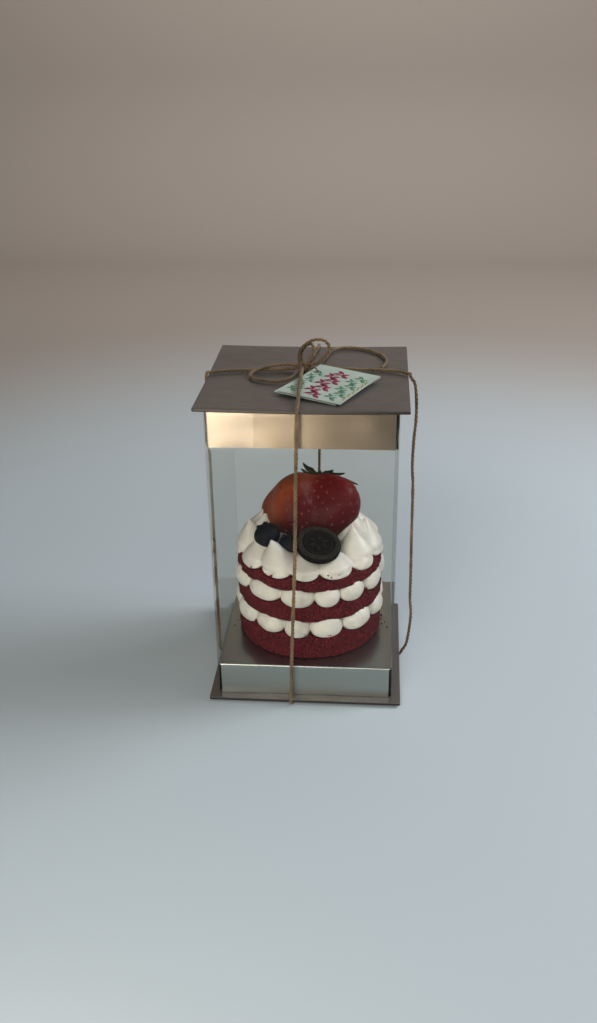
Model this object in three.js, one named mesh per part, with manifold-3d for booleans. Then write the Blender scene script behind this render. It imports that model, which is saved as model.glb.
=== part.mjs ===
// Mini red velvet layer cake in a clear gift box tied with twine, in millimetres, +Z up.
// The origin lies under the middle of the box, on the surface that the box stands on.
import * as THREE from "three";
import { mergeVertices } from "three/addons/utils/BufferGeometryUtils.js";
import Module from "manifold-3d";

const wasm = await Module();
wasm.setup();

// Box
const BOARD_SIDE = 100;
const BOARD_THICKNESS = 1.5;
const BOARD_CORNER = 0.8;
const BOX_HEIGHT = 161.9; // underside of the base board to the top of the lid board
const TRAY_SIDE = 90.2;
const TRAY_CARD = 1.0;
const TRAY_SLIT = 0.5; // open corner between two folded walls
const PLINTH_HEIGHT = 18;
const SKIRT_HEIGHT = 18.9;
const SLEEVE_SIDE = 91.4;
const SLEEVE_FILM = 0.4;
const SLEEVE_CORNER = 0.8;
const GLUE_LINE = 0.1;

// Twine
const TWINE_RADIUS = 1.0;
const TWINE_SIDES = 8;
const TWINE_PRESSED = 1.2; // height of the strands squeezed flat under the base board
const TWINE_PRESSED_WIDTH = 2.6;
const TAG_TIE_RADIUS = 0.55;

// Tag
const TAG_LENGTH = 41;
const TAG_WIDTH = 33.2;
const TAG_CARD = 0.35;
const TAG_FOLD_GAP = 0.4;
const TAG_HOLE_RADIUS = 2.0;
const TAG_SKEW = 0.055; // the lower leaf is folded slightly askew

// Cake
const SPONGE_RADIUS = 38.5;
const CREAM_RADIUS = 38.3;
const CREAM_BULGE = 1.7; // how far a piped lobe swells past the cream's own rim
const CREAM_NOTCH = 1.4; // how far the groove between two lobes lies inside that rim
const LOBE_DROOP = 1.5;
const LOBE_RISE = 1.4;
const LOBE_DIP = 1.2; // how far the cream's upper edge falls between two lobes
const LOBE_STEPS = 4;
const FLAT_RADIUS = 33; // the layers are level inside this radius
const RIM_ROUNDING = 0.6;
const LAYER_GAP = 0.3;
const SPONGE_BOTTOM_HEIGHT = 14;
const CREAM_LOWER_HEIGHT = 8;
const SPONGE_MIDDLE_HEIGHT = 10.3;
const CREAM_UPPER_HEIGHT = 7.6;
const SPONGE_TOP_HEIGHT = 7.6;
const CREAM_BED_HEIGHT = 5.2;
const BED_SHOULDER = 3;

// Toppings
const BERRY_LENGTH = 37;
const BERRY_RADIUS = 22;
const BERRY_SHOULDER = 0.33; // exponents of the strawberry's outline at its calyx and at its tip
const BERRY_TIP = 0.5;
const BERRY_PITCH = 40; // degrees that the tip points down, towards the front
const BLUEBERRY_SQUASH = 0.92;
const BISCUIT_RADIUS = 11.6;
const BISCUIT_THICKNESS = 4.0;
const SOCKET_GAP = 0.3;

const degrees = THREE.MathUtils.degToRad;
const point = (x, y, z) => new THREE.Vector3(x, y, z);

// Heights worked out from the driving sizes
const BASE_UNDERSIDE = TWINE_PRESSED;
const BASE_TOP = BASE_UNDERSIDE + BOARD_THICKNESS;
const LID_TOP = BASE_UNDERSIDE + BOX_HEIGHT;
const LID_UNDERSIDE = LID_TOP - BOARD_THICKNESS;
const PLINTH_TOP = BASE_TOP + PLINTH_HEIGHT;

// Turns a closed geometry into a manifold solid.
function solidOf(geometry) {
  const bare = geometry.clone();
  bare.deleteAttribute("normal");
  bare.deleteAttribute("uv");
  const merged = mergeVertices(bare, 1e-4);
  return new wasm.Manifold(
    new wasm.Mesh({
      numProp: 3,
      vertProperties: new Float32Array(merged.attributes.position.array),
      triVerts: new Uint32Array(merged.index.array),
    }),
  );
}

// Turns a manifold solid back into a geometry.
function geometryOf(solid) {
  const mesh = solid.getMesh();
  const geometry = new THREE.BufferGeometry();
  geometry.setAttribute("position", new THREE.BufferAttribute(mesh.vertProperties, 3));
  geometry.setIndex(new THREE.BufferAttribute(mesh.triVerts, 1));
  geometry.computeVertexNormals();
  return geometry;
}

const joined = (solids) => solids.reduce((whole, solid) => whole.add(solid));
const cutBy = (solid, tools) => tools.reduce((rest, tool) => rest.subtract(tool), solid);

// Closes a stack of rings of points, lowest first and counterclockwise from above, with a pole
// at each end. Each quad is split along its shorter diagonal, so that two surfaces that lie close
// together are split alike.
function skin(bottomPole, rings, topPole) {
  const count = rings[0].length;
  const points = [bottomPole, ...rings.flat(), topPole];
  const top = points.length - 1;
  const faces = [];
  const at = (ring, i) => 1 + ring * count + (i % count);
  for (let i = 0; i < count; i += 1) {
    faces.push(0, at(0, i + 1), at(0, i));
    faces.push(top, at(rings.length - 1, i), at(rings.length - 1, i + 1));
    for (let ring = 0; ring < rings.length - 1; ring += 1) {
      const quad = [at(ring, i), at(ring, i + 1), at(ring + 1, i + 1), at(ring + 1, i)];
      const [a, b, c, d] = quad.map((index) => points[index]);
      const turned = a.distanceTo(c) <= b.distanceTo(d) ? quad : [...quad.slice(1), quad[0]];
      faces.push(turned[0], turned[1], turned[2], turned[0], turned[2], turned[3]);
    }
  }
  const geometry = new THREE.BufferGeometry();
  geometry.setAttribute(
    "position",
    new THREE.Float32BufferAttribute(points.flatMap((p) => p.toArray()), 3),
  );
  geometry.setIndex(faces);
  return geometry;
}

const always = (value) => () => value;

// Box: two boards, a folded tray under the cake, another that hangs from the lid, clear sleeve
function roundedSquare(side, corner) {
  const half = side / 2;
  const inner = half - corner;
  const shape = new THREE.Shape();
  shape.moveTo(-inner, -half);
  shape.absarc(inner, -inner, corner, -Math.PI / 2, 0);
  shape.absarc(inner, inner, corner, 0, Math.PI / 2);
  shape.absarc(-inner, inner, corner, Math.PI / 2, Math.PI);
  shape.absarc(-inner, -inner, corner, Math.PI, (3 * Math.PI) / 2);
  return shape;
}

function board(underside) {
  const geometry = new THREE.ExtrudeGeometry(roundedSquare(BOARD_SIDE, BOARD_CORNER), {
    depth: BOARD_THICKNESS,
    bevelEnabled: false,
    curveSegments: 3,
  });
  return geometry.translate(0, 0, underside);
}

function slab(sizeX, sizeY, sizeZ, x, y, z) {
  return solidOf(new THREE.BoxGeometry(sizeX, sizeY, sizeZ).translate(x, y, z));
}

// A tray of folded card: a square panel and four walls, open at its corners. The panel lies at
// the top and the walls run down from it, so the lid's skirt is the same tray as the plinth.
function foldedTray(panelTop, height) {
  const middle = panelTop - height / 2;
  const wall = TRAY_SIDE / 2 - TRAY_CARD / 2;
  const between = TRAY_SIDE - 2 * TRAY_CARD - 2 * TRAY_SLIT;
  const walls = [-1, 1].flatMap((side) => [
    slab(TRAY_CARD, TRAY_SIDE, height, side * wall, 0, middle),
    slab(between, TRAY_CARD, height, 0, side * wall, middle),
  ]);
  const panel = slab(TRAY_SIDE, TRAY_SIDE, TRAY_CARD, 0, 0, panelTop - TRAY_CARD / 2);
  return geometryOf(joined([panel, ...walls]));
}

function sleeve() {
  const shape = roundedSquare(SLEEVE_SIDE, SLEEVE_CORNER);
  shape.holes.push(roundedSquare(SLEEVE_SIDE - 2 * SLEEVE_FILM, SLEEVE_CORNER - SLEEVE_FILM));
  const bottom = BASE_TOP + GLUE_LINE;
  const geometry = new THREE.ExtrudeGeometry(shape, {
    depth: LID_UNDERSIDE - GLUE_LINE - bottom,
    bevelEnabled: false,
    curveSegments: 3,
  });
  return geometry.translate(0, 0, bottom);
}

// Cake: three sponges with piped cream between them
// Where one piped lobe meets the next, in degrees round from the front towards +X.
const LOWER_JOINTS = [-45, -18, 4, 32, 62, 89, 117, 146, 171, 199, 229, 256, 286];
const UPPER_JOINTS = [-54, -21, 8, 29, 54, 80, 109, 135, 164, 190, 219, 246, 275];
const TOP_JOINTS = [-39, -11, 12, 42, 69, 99, 127, 155, 185, 214, 243, 266, 291];

// The places where a layer's rings have their points: even steps across each piped lobe, each
// with its angle and the lobe's height there, from 0 where two lobes meet to 1 in the middle.
function lobeSteps(joints) {
  return joints.flatMap((joint, k) => {
    const next = k + 1 < joints.length ? joints[k + 1] : joints[0] + 360;
    return Array.from({ length: LOBE_STEPS }, (_, i) => {
      const share = i / LOBE_STEPS;
      const angle = degrees(joint + share * (next - joint));
      return { angle, lobe: Math.sqrt(1 - (2 * share - 1) ** 2) };
    });
  });
}

// One ring about the Z axis. Its radius and height are functions of the lobe's height.
const lobedRing = (joints, radiusAt, heightAt) =>
  lobeSteps(joints).map(({ angle, lobe }) => {
    const radius = radiusAt(lobe);
    return point(radius * Math.sin(angle), -radius * Math.cos(angle), heightAt(lobe));
  });

const rimHeight = (level) => (lobe) => level + LOBE_RISE - (LOBE_RISE + LOBE_DROOP) * lobe;

// A layer of cream. Its underside and its upper edge follow the lobes at the rim, and its side
// swells at each lobe and falls back between two. The shoulder is how far in its top begins.
function creamLayer(bottom, top, joints, shoulder = RIM_ROUNDING) {
  const side = (share, inset = 0) => (lobe) =>
    CREAM_RADIUS - inset - share * CREAM_NOTCH + share * (CREAM_BULGE + CREAM_NOTCH) * lobe;
  const low = rimHeight(bottom);
  const high = (lobe) => top - LOBE_DIP * (1 - lobe);
  const between = (share) => (lobe) => low(lobe) + share * (high(lobe) - low(lobe));
  const rings = [
    lobedRing(joints, always(FLAT_RADIUS), always(bottom)),
    lobedRing(joints, always(CREAM_RADIUS - RIM_ROUNDING), low),
    lobedRing(joints, side(0.75), between(0.16)),
    lobedRing(joints, side(1), between(0.45)),
    lobedRing(joints, side(0.6, shoulder / 2), between(0.85)),
    lobedRing(joints, side(0, shoulder), high),
    lobedRing(joints, always(FLAT_RADIUS - shoulder), always(top)),
  ];
  return skin(point(0, 0, bottom), rings, point(0, 0, top));
}

// A disc of sponge. Its top follows the underside of the cream on it.
function sponge(bottom, top, joints) {
  const rim = rimHeight(top);
  const rings = [
    lobedRing(joints, always(SPONGE_RADIUS - RIM_ROUNDING), always(bottom)),
    lobedRing(joints, always(SPONGE_RADIUS), always(bottom + RIM_ROUNDING)),
    lobedRing(joints, always(SPONGE_RADIUS), (lobe) => rim(lobe) - RIM_ROUNDING / 2),
    lobedRing(joints, always(CREAM_RADIUS - RIM_ROUNDING), rim),
    lobedRing(joints, always(FLAT_RADIUS), always(top)),
  ];
  return skin(point(0, 0, bottom), rings, point(0, 0, top));
}

const SPONGE_BOTTOM_TOP = PLINTH_TOP + SPONGE_BOTTOM_HEIGHT;
const CREAM_LOWER_TOP = SPONGE_BOTTOM_TOP + CREAM_LOWER_HEIGHT;
const SPONGE_MIDDLE_TOP = CREAM_LOWER_TOP + SPONGE_MIDDLE_HEIGHT;
const CREAM_UPPER_TOP = SPONGE_MIDDLE_TOP + CREAM_UPPER_HEIGHT;
const SPONGE_TOP_TOP = CREAM_UPPER_TOP + SPONGE_TOP_HEIGHT;
const BED_TOP = SPONGE_TOP_TOP + CREAM_BED_HEIGHT;

// Toppings
// The strawberry leans back, with its tip towards the front. An outline x^a (1 - x)^b from calyx
// to tip is carried round a wide, slightly square section.
const BERRY_CENTRE = point(1, 7, 89.1);
const BERRY_WIDEST = BERRY_SHOULDER / (BERRY_SHOULDER + BERRY_TIP);
const BERRY_FRAME = new THREE.Matrix4().makeBasis(
  point(1, 0, 0),
  point(0, Math.sin(degrees(BERRY_PITCH)), -Math.cos(degrees(BERRY_PITCH))),
  point(0, Math.cos(degrees(BERRY_PITCH)), Math.sin(degrees(BERRY_PITCH))),
);

const berrySection = (angle) =>
  1 + 0.25 * Math.cos(2 * angle) - 0.03 * Math.sin(2 * angle) +
  0.02 * Math.cos(3 * angle) + 0.07 * Math.sin(3 * angle) -
  0.11 * Math.cos(4 * angle) - 0.085 * Math.sin(4 * angle);

const berryRadius = (along, size) =>
  size *
  (along / BERRY_WIDEST) ** BERRY_SHOULDER *
  ((1 - along) / (1 - BERRY_WIDEST)) ** BERRY_TIP;

function strawberry(growth) {
  const [around, stations] = [28, 13];
  const length = BERRY_LENGTH + 2 * growth;
  const level = (along) => (BERRY_WIDEST - along) * length;
  const rings = Array.from({ length: stations }, (_, k) => {
    const along = 0.5 + 0.5 * Math.cos((Math.PI * (k + 0.6)) / (stations + 0.2));
    const radius = berryRadius(along, BERRY_RADIUS + growth);
    return Array.from({ length: around }, (_, i) => {
      const angle = (i / around) * 2 * Math.PI;
      const reach = radius * berrySection(angle);
      return point(reach * Math.cos(angle), reach * Math.sin(angle), level(along));
    });
  });
  return skin(point(0, 0, level(1)), rings, point(0, 0, level(0)))
    .applyMatrix4(BERRY_FRAME)
    .translate(...BERRY_CENTRE.toArray());
}

// One sepal: a thin wavy leaf that runs out from the calyx over the shoulder and lifts at its tip.
function sepal({ turn, length, width, lift }) {
  const [stations, thickness] = [6, 0.5];
  const heading = degrees(turn);
  const place = (along, side, up) => {
    const run = 1.2 + along * (length - 1.2);
    const half = 0.5 * width * Math.sin(Math.PI * (0.12 + 0.86 * along)) ** 0.8;
    const wave = 0.35 * Math.sin(3 * Math.PI * along + turn);
    const rise = 0.9 + lift * along ** 2 + wave * along + 0.25 * side * side;
    return point(
      run * Math.cos(heading) - side * half * Math.sin(heading),
      run * Math.sin(heading) + side * half * Math.cos(heading),
      rise + up * thickness,
    );
  };
  const rings = Array.from({ length: stations }, (_, k) => {
    const along = k / (stations - 1);
    return [place(along, -1, 0), place(along, 1, 0), place(along, 1, 1), place(along, -1, 1)];
  });
  const end = (ring) => ring.reduce((sum, p) => sum.add(p), point(0, 0, 0)).divideScalar(4);
  return skin(end(rings[0]), rings, end(rings[stations - 1]));
}

const SEPALS = [
  { turn: -129, length: 15, width: 4.6, lift: 3.0 },
  { turn: -96, length: 8.5, width: 4.0, lift: -0.4 },
  { turn: -60, length: 13, width: 4.2, lift: -0.4 },
  { turn: -34, length: 17, width: 4.0, lift: -2.2 },
  { turn: -10, length: 20.5, width: 4.2, lift: -4.6 },
  { turn: 38, length: 14, width: 4.4, lift: 1.0 },
  { turn: 78, length: 12, width: 4.2, lift: 1.5 },
  { turn: 122, length: 13, width: 4.4, lift: 1.8 },
  { turn: 166, length: 13, width: 4.2, lift: 1.4 },
  { turn: -152, length: 12, width: 4.0, lift: 1.6 },
];
const CALYX_OFFSET = 4; // the calyx sits a little to the right of the berry's middle

function calyx() {
  const button = new THREE.CylinderGeometry(2.6, 3.2, 1.3, 12).rotateX(Math.PI / 2);
  const leaves = SEPALS.map((leaf) => solidOf(sepal(leaf)));
  const whole = joined([solidOf(button.translate(0, 0, 1.25)), ...leaves]);
  return geometryOf(whole)
    .translate(CALYX_OFFSET, 0, BERRY_WIDEST * BERRY_LENGTH)
    .applyMatrix4(BERRY_FRAME)
    .translate(...BERRY_CENTRE.toArray());
}

// A blueberry: a squashed ball with a five-pointed crown round a small dimple.
const BLUEBERRIES = [
  {
    name: "blueberry_large",
    centre: point(-20.8, -16.2, 82.0),
    radius: 6.8,
    towards: point(-0.45, 0.25, 0.85),
  },
  {
    name: "blueberry_small",
    centre: point(-8.9, -20.2, 79.2),
    radius: 5.7,
    towards: point(-0.3, 0.1, 0.95),
  },
];

function blueberry({ centre, radius, towards }, growth) {
  const around = 20;
  const size = radius + growth;
  const latitudes = [-70, -48, -25, 0, 22, 42, 58];
  const ring = (reach, height, points = 0) =>
    Array.from({ length: around }, (_, i) => {
      const angle = (i / around) * 2 * Math.PI;
      const lift = points * size * Math.cos(5 * angle);
      const radius = reach * size;
      return point(radius * Math.cos(angle), radius * Math.sin(angle), height * size + lift);
    });
  const ball = latitudes.map((latitude) =>
    ring(Math.cos(degrees(latitude)), BLUEBERRY_SQUASH * Math.sin(degrees(latitude))),
  );
  const crown = [ring(0.4, 0.92, 0.04), ring(0.3, 0.9, 0.04), ring(0.24, 0.76)];
  const [bottom, dimple] = [point(0, 0, -BLUEBERRY_SQUASH * size), point(0, 0, 0.74 * size)];
  const geometry = skin(bottom, [...ball, ...crown], dimple);
  const turn = new THREE.Quaternion().setFromUnitVectors(point(0, 0, 1), towards.clone().normalize());
  return geometry.applyQuaternion(turn).translate(...centre.toArray());
}

// The biscuit: a dark wafer with a raised rim, tipped to the front and a little to the right.
const BISCUIT_CENTRE = point(6.4, -26, 82.2);
const BISCUIT_TILT = new THREE.Euler(degrees(20), degrees(9), 0);

function biscuit(growth) {
  const [reach, half] = [BISCUIT_RADIUS + growth, BISCUIT_THICKNESS / 2 + growth];
  const profile = [
    [0, -half],
    [reach - 1, -half],
    [reach, -half + 0.9],
    [reach, half - 0.9],
    [reach - 0.8, half],
    [reach - 3, half],
    [reach - 3.6, half - 0.5],
    [0, half - 0.5],
  ];
  return new THREE.LatheGeometry(profile.map(([r, z]) => new THREE.Vector2(r, z)), 36)
    .rotateX(Math.PI / 2)
    .applyMatrix4(new THREE.Matrix4().makeRotationFromEuler(BISCUIT_TILT))
    .translate(...BISCUIT_CENTRE.toArray());
}

// A piped kiss: a round blob that narrows to a leaning tip.
function kiss({ turn, reach, size, height, base = BED_TOP - 4.2, lean = [0, 0] }) {
  const around = 14;
  const profile = [
    [0.0, 0.86],
    [0.14, 1.0],
    [0.3, 0.97],
    [0.48, 0.74],
    [0.68, 0.43],
    [0.88, 0.14],
  ];
  const angle = degrees(turn);
  const [x, y] = [reach * Math.sin(angle), -reach * Math.cos(angle)];
  const rings = profile.map(([up, wide]) => {
    const slip = up ** 1.6;
    return Array.from({ length: around }, (_, i) => {
      const spin = (i / around) * 2 * Math.PI;
      return point(
        x + lean[0] * slip + wide * size * Math.cos(spin),
        y + lean[1] * slip + wide * size * Math.sin(spin),
        base + up * height,
      );
    });
  });
  return skin(point(x, y, base), rings, point(x + lean[0], y + lean[1], base + height));
}

const KISSES = [
  { turn: -26, reach: 28.3, size: 10.6, height: 14.5, lean: [-5.6, 1.2] },
  { turn: 0, reach: 28.6, size: 10.4, height: 10.5, lean: [0, 2] },
  { turn: 27, reach: 28.3, size: 11, height: 10.5, lean: [-1, 2] },
  { turn: 56, reach: 28, size: 10.8, height: 17.2, lean: [0.4, 3.5] },
  { turn: 84, reach: 28.6, size: 10.6, height: 15.5, lean: [1.5, 5] },
  { turn: 113, reach: 28.4, size: 10.8, height: 16, lean: [-2, 0] },
  { turn: 141, reach: 28.4, size: 10.6, height: 15, lean: [0, -2] },
  { turn: 170, reach: 28.6, size: 10.9, height: 16.5, lean: [1, -1] },
  { turn: 199, reach: 28.4, size: 10.6, height: 15, lean: [0, -2] },
  { turn: 228, reach: 28.2, size: 10.8, height: 16.5, lean: [1, 0] },
  { turn: 255, reach: 28.4, size: 10.2, height: 17, lean: [3, 1] },
  { turn: 279, reach: 28.6, size: 10.2, height: 15.5, lean: [-3.5, 1.5] },
  { turn: -52, reach: 28.4, size: 10.4, height: 12.5, lean: [-3, 0] },
];
const UPPER_KISSES = [
  { turn: 88, reach: 22, size: 9, height: 17 },
  { turn: 126, reach: 20, size: 9.4, height: 17 },
  { turn: 165, reach: 20, size: 9.4, height: 15 },
  { turn: 205, reach: 20, size: 9.4, height: 16 },
  { turn: 240, reach: 21, size: 9.6, height: 17 },
  { turn: 270, reach: 23.5, size: 8.6, height: 12 },
];

function moundUnderBerry(reach, height) {
  const [around, base] = [20, BED_TOP - 2];
  const steps = [0, 0.3, 0.6, 0.85];
  const rings = steps.map((up) => {
    const radius = reach * Math.sqrt(1 - up * up);
    return Array.from({ length: around }, (_, i) => {
      const angle = (i / around) * 2 * Math.PI;
      return point(radius * Math.cos(angle), radius * Math.sin(angle), base + up * height);
    });
  });
  return skin(point(0, 0, base), rings, point(0, 0, base + height));
}

// The cream on top: a lobed bed, a ring of kisses, a second row behind the strawberry and a mound
// under it, with a socket for every topping.
function creamTop() {
  const bed = solidOf(creamLayer(SPONGE_TOP_TOP + LAYER_GAP, BED_TOP, TOP_JOINTS, BED_SHOULDER));
  const ring = KISSES.map((k) => solidOf(kiss(k)));
  const row = UPPER_KISSES.map((k) => solidOf(kiss({ ...k, base: BED_TOP + 1.5 })));
  const mound = moundUnderBerry(24, 9);
  const sockets = [
    strawberry(SOCKET_GAP),
    biscuit(SOCKET_GAP),
    ...BLUEBERRIES.map((berry) => blueberry(berry, SOCKET_GAP)),
  ];
  return geometryOf(
    cutBy(joined([bed, solidOf(mound), ...ring, ...row]), sockets.map(solidOf)),
  );
}

// Tag: one card folded at its back edge, with a punched hole. In its own frame X runs away from
// the fold, Y along it and Z up, from the left end of the fold, halfway through the two leaves.
const TAG_CORNER = point(6, 8.1, LID_TOP + 3.2);
const TAG_FOLD_DROP = 1.1; // the fold's right end lies this much lower than its left end
const TAG_FREE_DROP = 1.3; // the left side's free end lies this much lower than the fold
const TAG_TURN = 26; // degrees that the fold turns to the front as it runs to the right
const TAG_HOLE = { fromFold: 10, fromSide: 4 };
const TAG_FRAME = (() => {
  const [cos, sin] = [Math.cos(degrees(TAG_TURN)), Math.sin(degrees(TAG_TURN))];
  const away = point(-sin, -cos, -TAG_FREE_DROP / TAG_LENGTH).normalize();
  const along = point(cos, -sin, -TAG_FOLD_DROP / TAG_WIDTH);
  const up = away.clone().cross(along).normalize();
  return new THREE.Matrix4().makeBasis(away, up.clone().cross(away), up).setPosition(TAG_CORNER);
})();

function tag() {
  const [outer, inner] = [TAG_CARD + TAG_FOLD_GAP / 2, TAG_FOLD_GAP / 2];
  const profile = new THREE.Shape();
  profile.moveTo(TAG_LENGTH, -outer);
  profile.lineTo(TAG_LENGTH, -inner);
  profile.lineTo(0, -inner);
  profile.absarc(0, 0, inner, -Math.PI / 2, Math.PI / 2, true);
  profile.lineTo(TAG_LENGTH, inner);
  profile.lineTo(TAG_LENGTH, outer);
  profile.lineTo(0, outer);
  profile.absarc(0, 0, outer, Math.PI / 2, (3 * Math.PI) / 2, false);
  const card = new THREE.ExtrudeGeometry(profile, {
    depth: TAG_WIDTH,
    bevelEnabled: false,
    curveSegments: 6,
  });
  card.rotateX(Math.PI / 2).translate(0, TAG_WIDTH, 0);
  const places = card.attributes.position;
  for (let i = 0; i < places.count; i += 1) {
    if (places.getZ(i) < 0) {
      places.setY(i, places.getY(i) - TAG_SKEW * Math.max(0, places.getX(i)));
    }
  }
  const punch = new THREE.CylinderGeometry(TAG_HOLE_RADIUS, TAG_HOLE_RADIUS, 4, 20)
    .rotateX(Math.PI / 2)
    .translate(TAG_HOLE.fromFold, TAG_HOLE.fromSide, 0);
  return geometryOf(cutBy(solidOf(card), [solidOf(punch)])).applyMatrix4(TAG_FRAME);
}

// Twine: one length that crosses under the base, runs up the four sides and is tied in a bow.
// Each stretch is laid by hand, with points where the section is swept.
class HandLaidCurve extends THREE.CatmullRomCurve3 {
  getPointAt(share, target) {
    return this.getPoint(share, target);
  }

  getTangentAt(share, target) {
    return this.getTangent(share, target);
  }
}

function cord(points, radius = TWINE_RADIUS, stepsEach = 1) {
  const section = new THREE.Shape(
    Array.from({ length: TWINE_SIDES }, (_, i) => {
      const angle = (i / TWINE_SIDES) * 2 * Math.PI;
      return new THREE.Vector2(radius * Math.cos(angle), radius * Math.sin(angle));
    }),
  );
  return new THREE.ExtrudeGeometry(section, {
    steps: (points.length - 1) * stepsEach,
    bevelEnabled: false,
    extrudePath: new HandLaidCurve(points, false, "centripetal"),
  });
}

const EDGE = BOARD_SIDE / 2;
const ON_LID = LID_TOP + TWINE_RADIUS + 0.15;
const OUTSIDE = EDGE + TWINE_RADIUS + 0.2;
const KNOT = point(-2.8, 6, ON_LID + 1.6);

// Where the strands pass in under the base, as a place along each edge
const UNDER_FRONT = -6.8;
const UNDER_BACK = 1;
const UNDER_LEFT = -3;
const UNDER_RIGHT = -1;

// The end of a strand: over the lid's edge, down that side of the box and in under the base. The
// route gives, from the top, [height, place along the edge, how far the strand stands off].
function downSide(place, lidAcross, route, baseAcross) {
  return [
    place(EDGE - 0.3, lidAcross, ON_LID),
    place(EDGE + 0.95, lidAcross, ON_LID - 0.45),
    place(OUTSIDE, lidAcross, LID_TOP - 0.8),
    ...route.map(([height, across, off]) => place(OUTSIDE + off, across, height)),
    place(OUTSIDE, baseAcross, BASE_TOP - 0.3),
    place(EDGE + 1.0, baseAcross, BASE_UNDERSIDE + 0.35),
    place(EDGE + 0.8, baseAcross, BASE_UNDERSIDE),
    place(EDGE + 0.45, baseAcross, BASE_UNDERSIDE - 0.1),
  ];
}

const toFront = (out, across, height) => point(across, -out, height);
const toBack = (out, across, height) => point(across, out, height);
const toLeft = (out, across, height) => point(-out, across, height);
const toRight = (out, across, height) => point(out, across, height);

// Each strand ends in the turn that downSide gives: the heights, places and distances below.
const FRONT_DOWN = [[157, -1.7, 0], [134, -2.3, 0], [87, -3.5, 0], [40, -5.5, 0], [8, -6.7, 0]];
const BACK_DOWN = [[157, 3, 0], [120, 2.8, 0.2], [60, 2, 0.2], [8, 1.1, 0]];
const LEFT_DOWN = [[157, 0.9, 0], [120, -0.4, 0.2], [60, -1.8, 0.2], [8, -2.9, 0]];
const RIGHT_DOWN = [
  [160, 2.2, 1.8],
  [154, 1.6, 2.9],
  [141, 1, 3.3],
  [130, 0.6, 2.6],
  [115, 0.2, 2.3],
  [106, 0, 2.9],
  [74, 0, 3.3],
  [49, 0, 3.7],
  [36, -0.3, 3.8],
  [28, -0.5, 4.5],
  [18, -0.7, 4.0],
  [7, -0.9, 2.4],
];

const FRONT_STRAND = [
  KNOT,
  point(-2.7, 0, ON_LID + 2.6),
  point(-2.5, -10, ON_LID + 3.2),
  point(-2.2, -22, ON_LID + 2.8),
  point(-1.9, -33.5, ON_LID + 2.2),
  point(-1.7, -40, ON_LID + 0.9),
  point(-1.5, -46, ON_LID + 0.1),
  ...downSide(toFront, -1.45, FRONT_DOWN, UNDER_FRONT),
];
const BACK_STRAND = [
  KNOT,
  point(-1.6, 16, ON_LID + 0.5),
  point(0.2, 26, ON_LID),
  point(2.2, 42, ON_LID),
  ...downSide(toBack, 2.9, BACK_DOWN, UNDER_BACK),
];
const LEFT_STRAND = [
  KNOT,
  point(-9, 7.6, ON_LID + 0.3),
  point(-20, 6.4, ON_LID),
  point(-39, 4.8, ON_LID),
  point(-46, 3.2, ON_LID),
  ...downSide(toLeft, 1.5, LEFT_DOWN, UNDER_LEFT),
];
const RIGHT_STRAND = [
  KNOT,
  point(4, 9.6, ON_LID + 0.3),
  point(12, 9.6, ON_LID),
  point(28.7, 8.4, ON_LID),
  point(42.4, 6.8, ON_LID),
  ...downSide(toRight, 2.9, RIGHT_DOWN, UNDER_RIGHT),
];
const LEFT_LOOP = [
  KNOT,
  point(-9, 8.6, ON_LID + 2.2),
  point(-16, 7.6, ON_LID + 2.1),
  point(-23, 5.2, ON_LID + 1.4),
  point(-27.6, 1.6, ON_LID + 0.5),
  point(-28.6, -3, ON_LID),
  point(-25.8, -7.8, ON_LID),
  point(-20.5, -10.8, ON_LID),
  point(-14, -11.6, ON_LID + 0.1),
  point(-8.3, -8.3, ON_LID + 0.6),
  point(-4.8, -1, ON_LID + 1.4),
  KNOT,
];
const UPRIGHT_LOOP = [
  KNOT,
  point(-4.4, 5.8, 169),
  point(-4.4, 6, 173.5),
  point(-1.6, 6.2, 177.4),
  point(3.4, 6.4, 180),
  point(8.4, 6.4, 179.4),
  point(10.6, 6.2, 175.8),
  point(7.6, 6, 170.6),
  point(1.5, 6, 167.2),
  KNOT,
];
const INNER_LOOP = [
  KNOT,
  point(-3.4, 8, 169),
  point(-3.6, 8.6, 173),
  point(-1.2, 8.6, 176.4),
  point(1.6, 8.2, 177.2),
  point(2.8, 7.6, 174),
  point(0.8, 7, 169),
  KNOT,
];
const RIGHT_TAIL = [
  KNOT,
  point(3, 13, ON_LID + 1.4),
  point(7, 25, ON_LID + 0.2),
  point(9, 36, ON_LID),
  point(12.5, 43.4, ON_LID),
  point(18.5, 45.4, ON_LID),
  point(25.5, 43.6, ON_LID),
  point(31.8, 38.8, ON_LID),
  point(36.8, 32, ON_LID),
  point(39, 24, ON_LID),
  point(38.2, 16.5, ON_LID),
  point(36.6, 12, ON_LID),
];
const TAG_TIE = [
  KNOT,
  point(0.5, 3, ON_LID + 4),
  point(4, -1.2, ON_LID + 3.6),
  point(5.2, -2.7, ON_LID + 2.4),
  point(5.2, -2.7, ON_LID + 0.9),
  point(3.6, -1, LID_TOP + 1),
  point(0, 3, LID_TOP + 1),
  point(KNOT.x, KNOT.y, LID_TOP + 1.6),
];

function twine() {
  const strands = [FRONT_STRAND, BACK_STRAND, LEFT_STRAND, RIGHT_STRAND, LEFT_LOOP, UPRIGHT_LOOP,
    INNER_LOOP, RIGHT_TAIL].map((points) => cord(points));
  const knot = new THREE.SphereGeometry(1, 12, 8).scale(3.8, 3.2, 2.5).translate(...KNOT.toArray());
  const wrap = new THREE.TorusGeometry(2.0, 0.95, 6, 14)
    .rotateX(Math.PI / 2 - 0.3)
    .rotateZ(0.5)
    .translate(KNOT.x, KNOT.y, KNOT.z + 0.4);
  const pieces = [...strands, knot, wrap, cord(TAG_TIE, TAG_TIE_RADIUS)];
  return geometryOf(joined(pieces.map(solidOf)));
}

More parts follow.
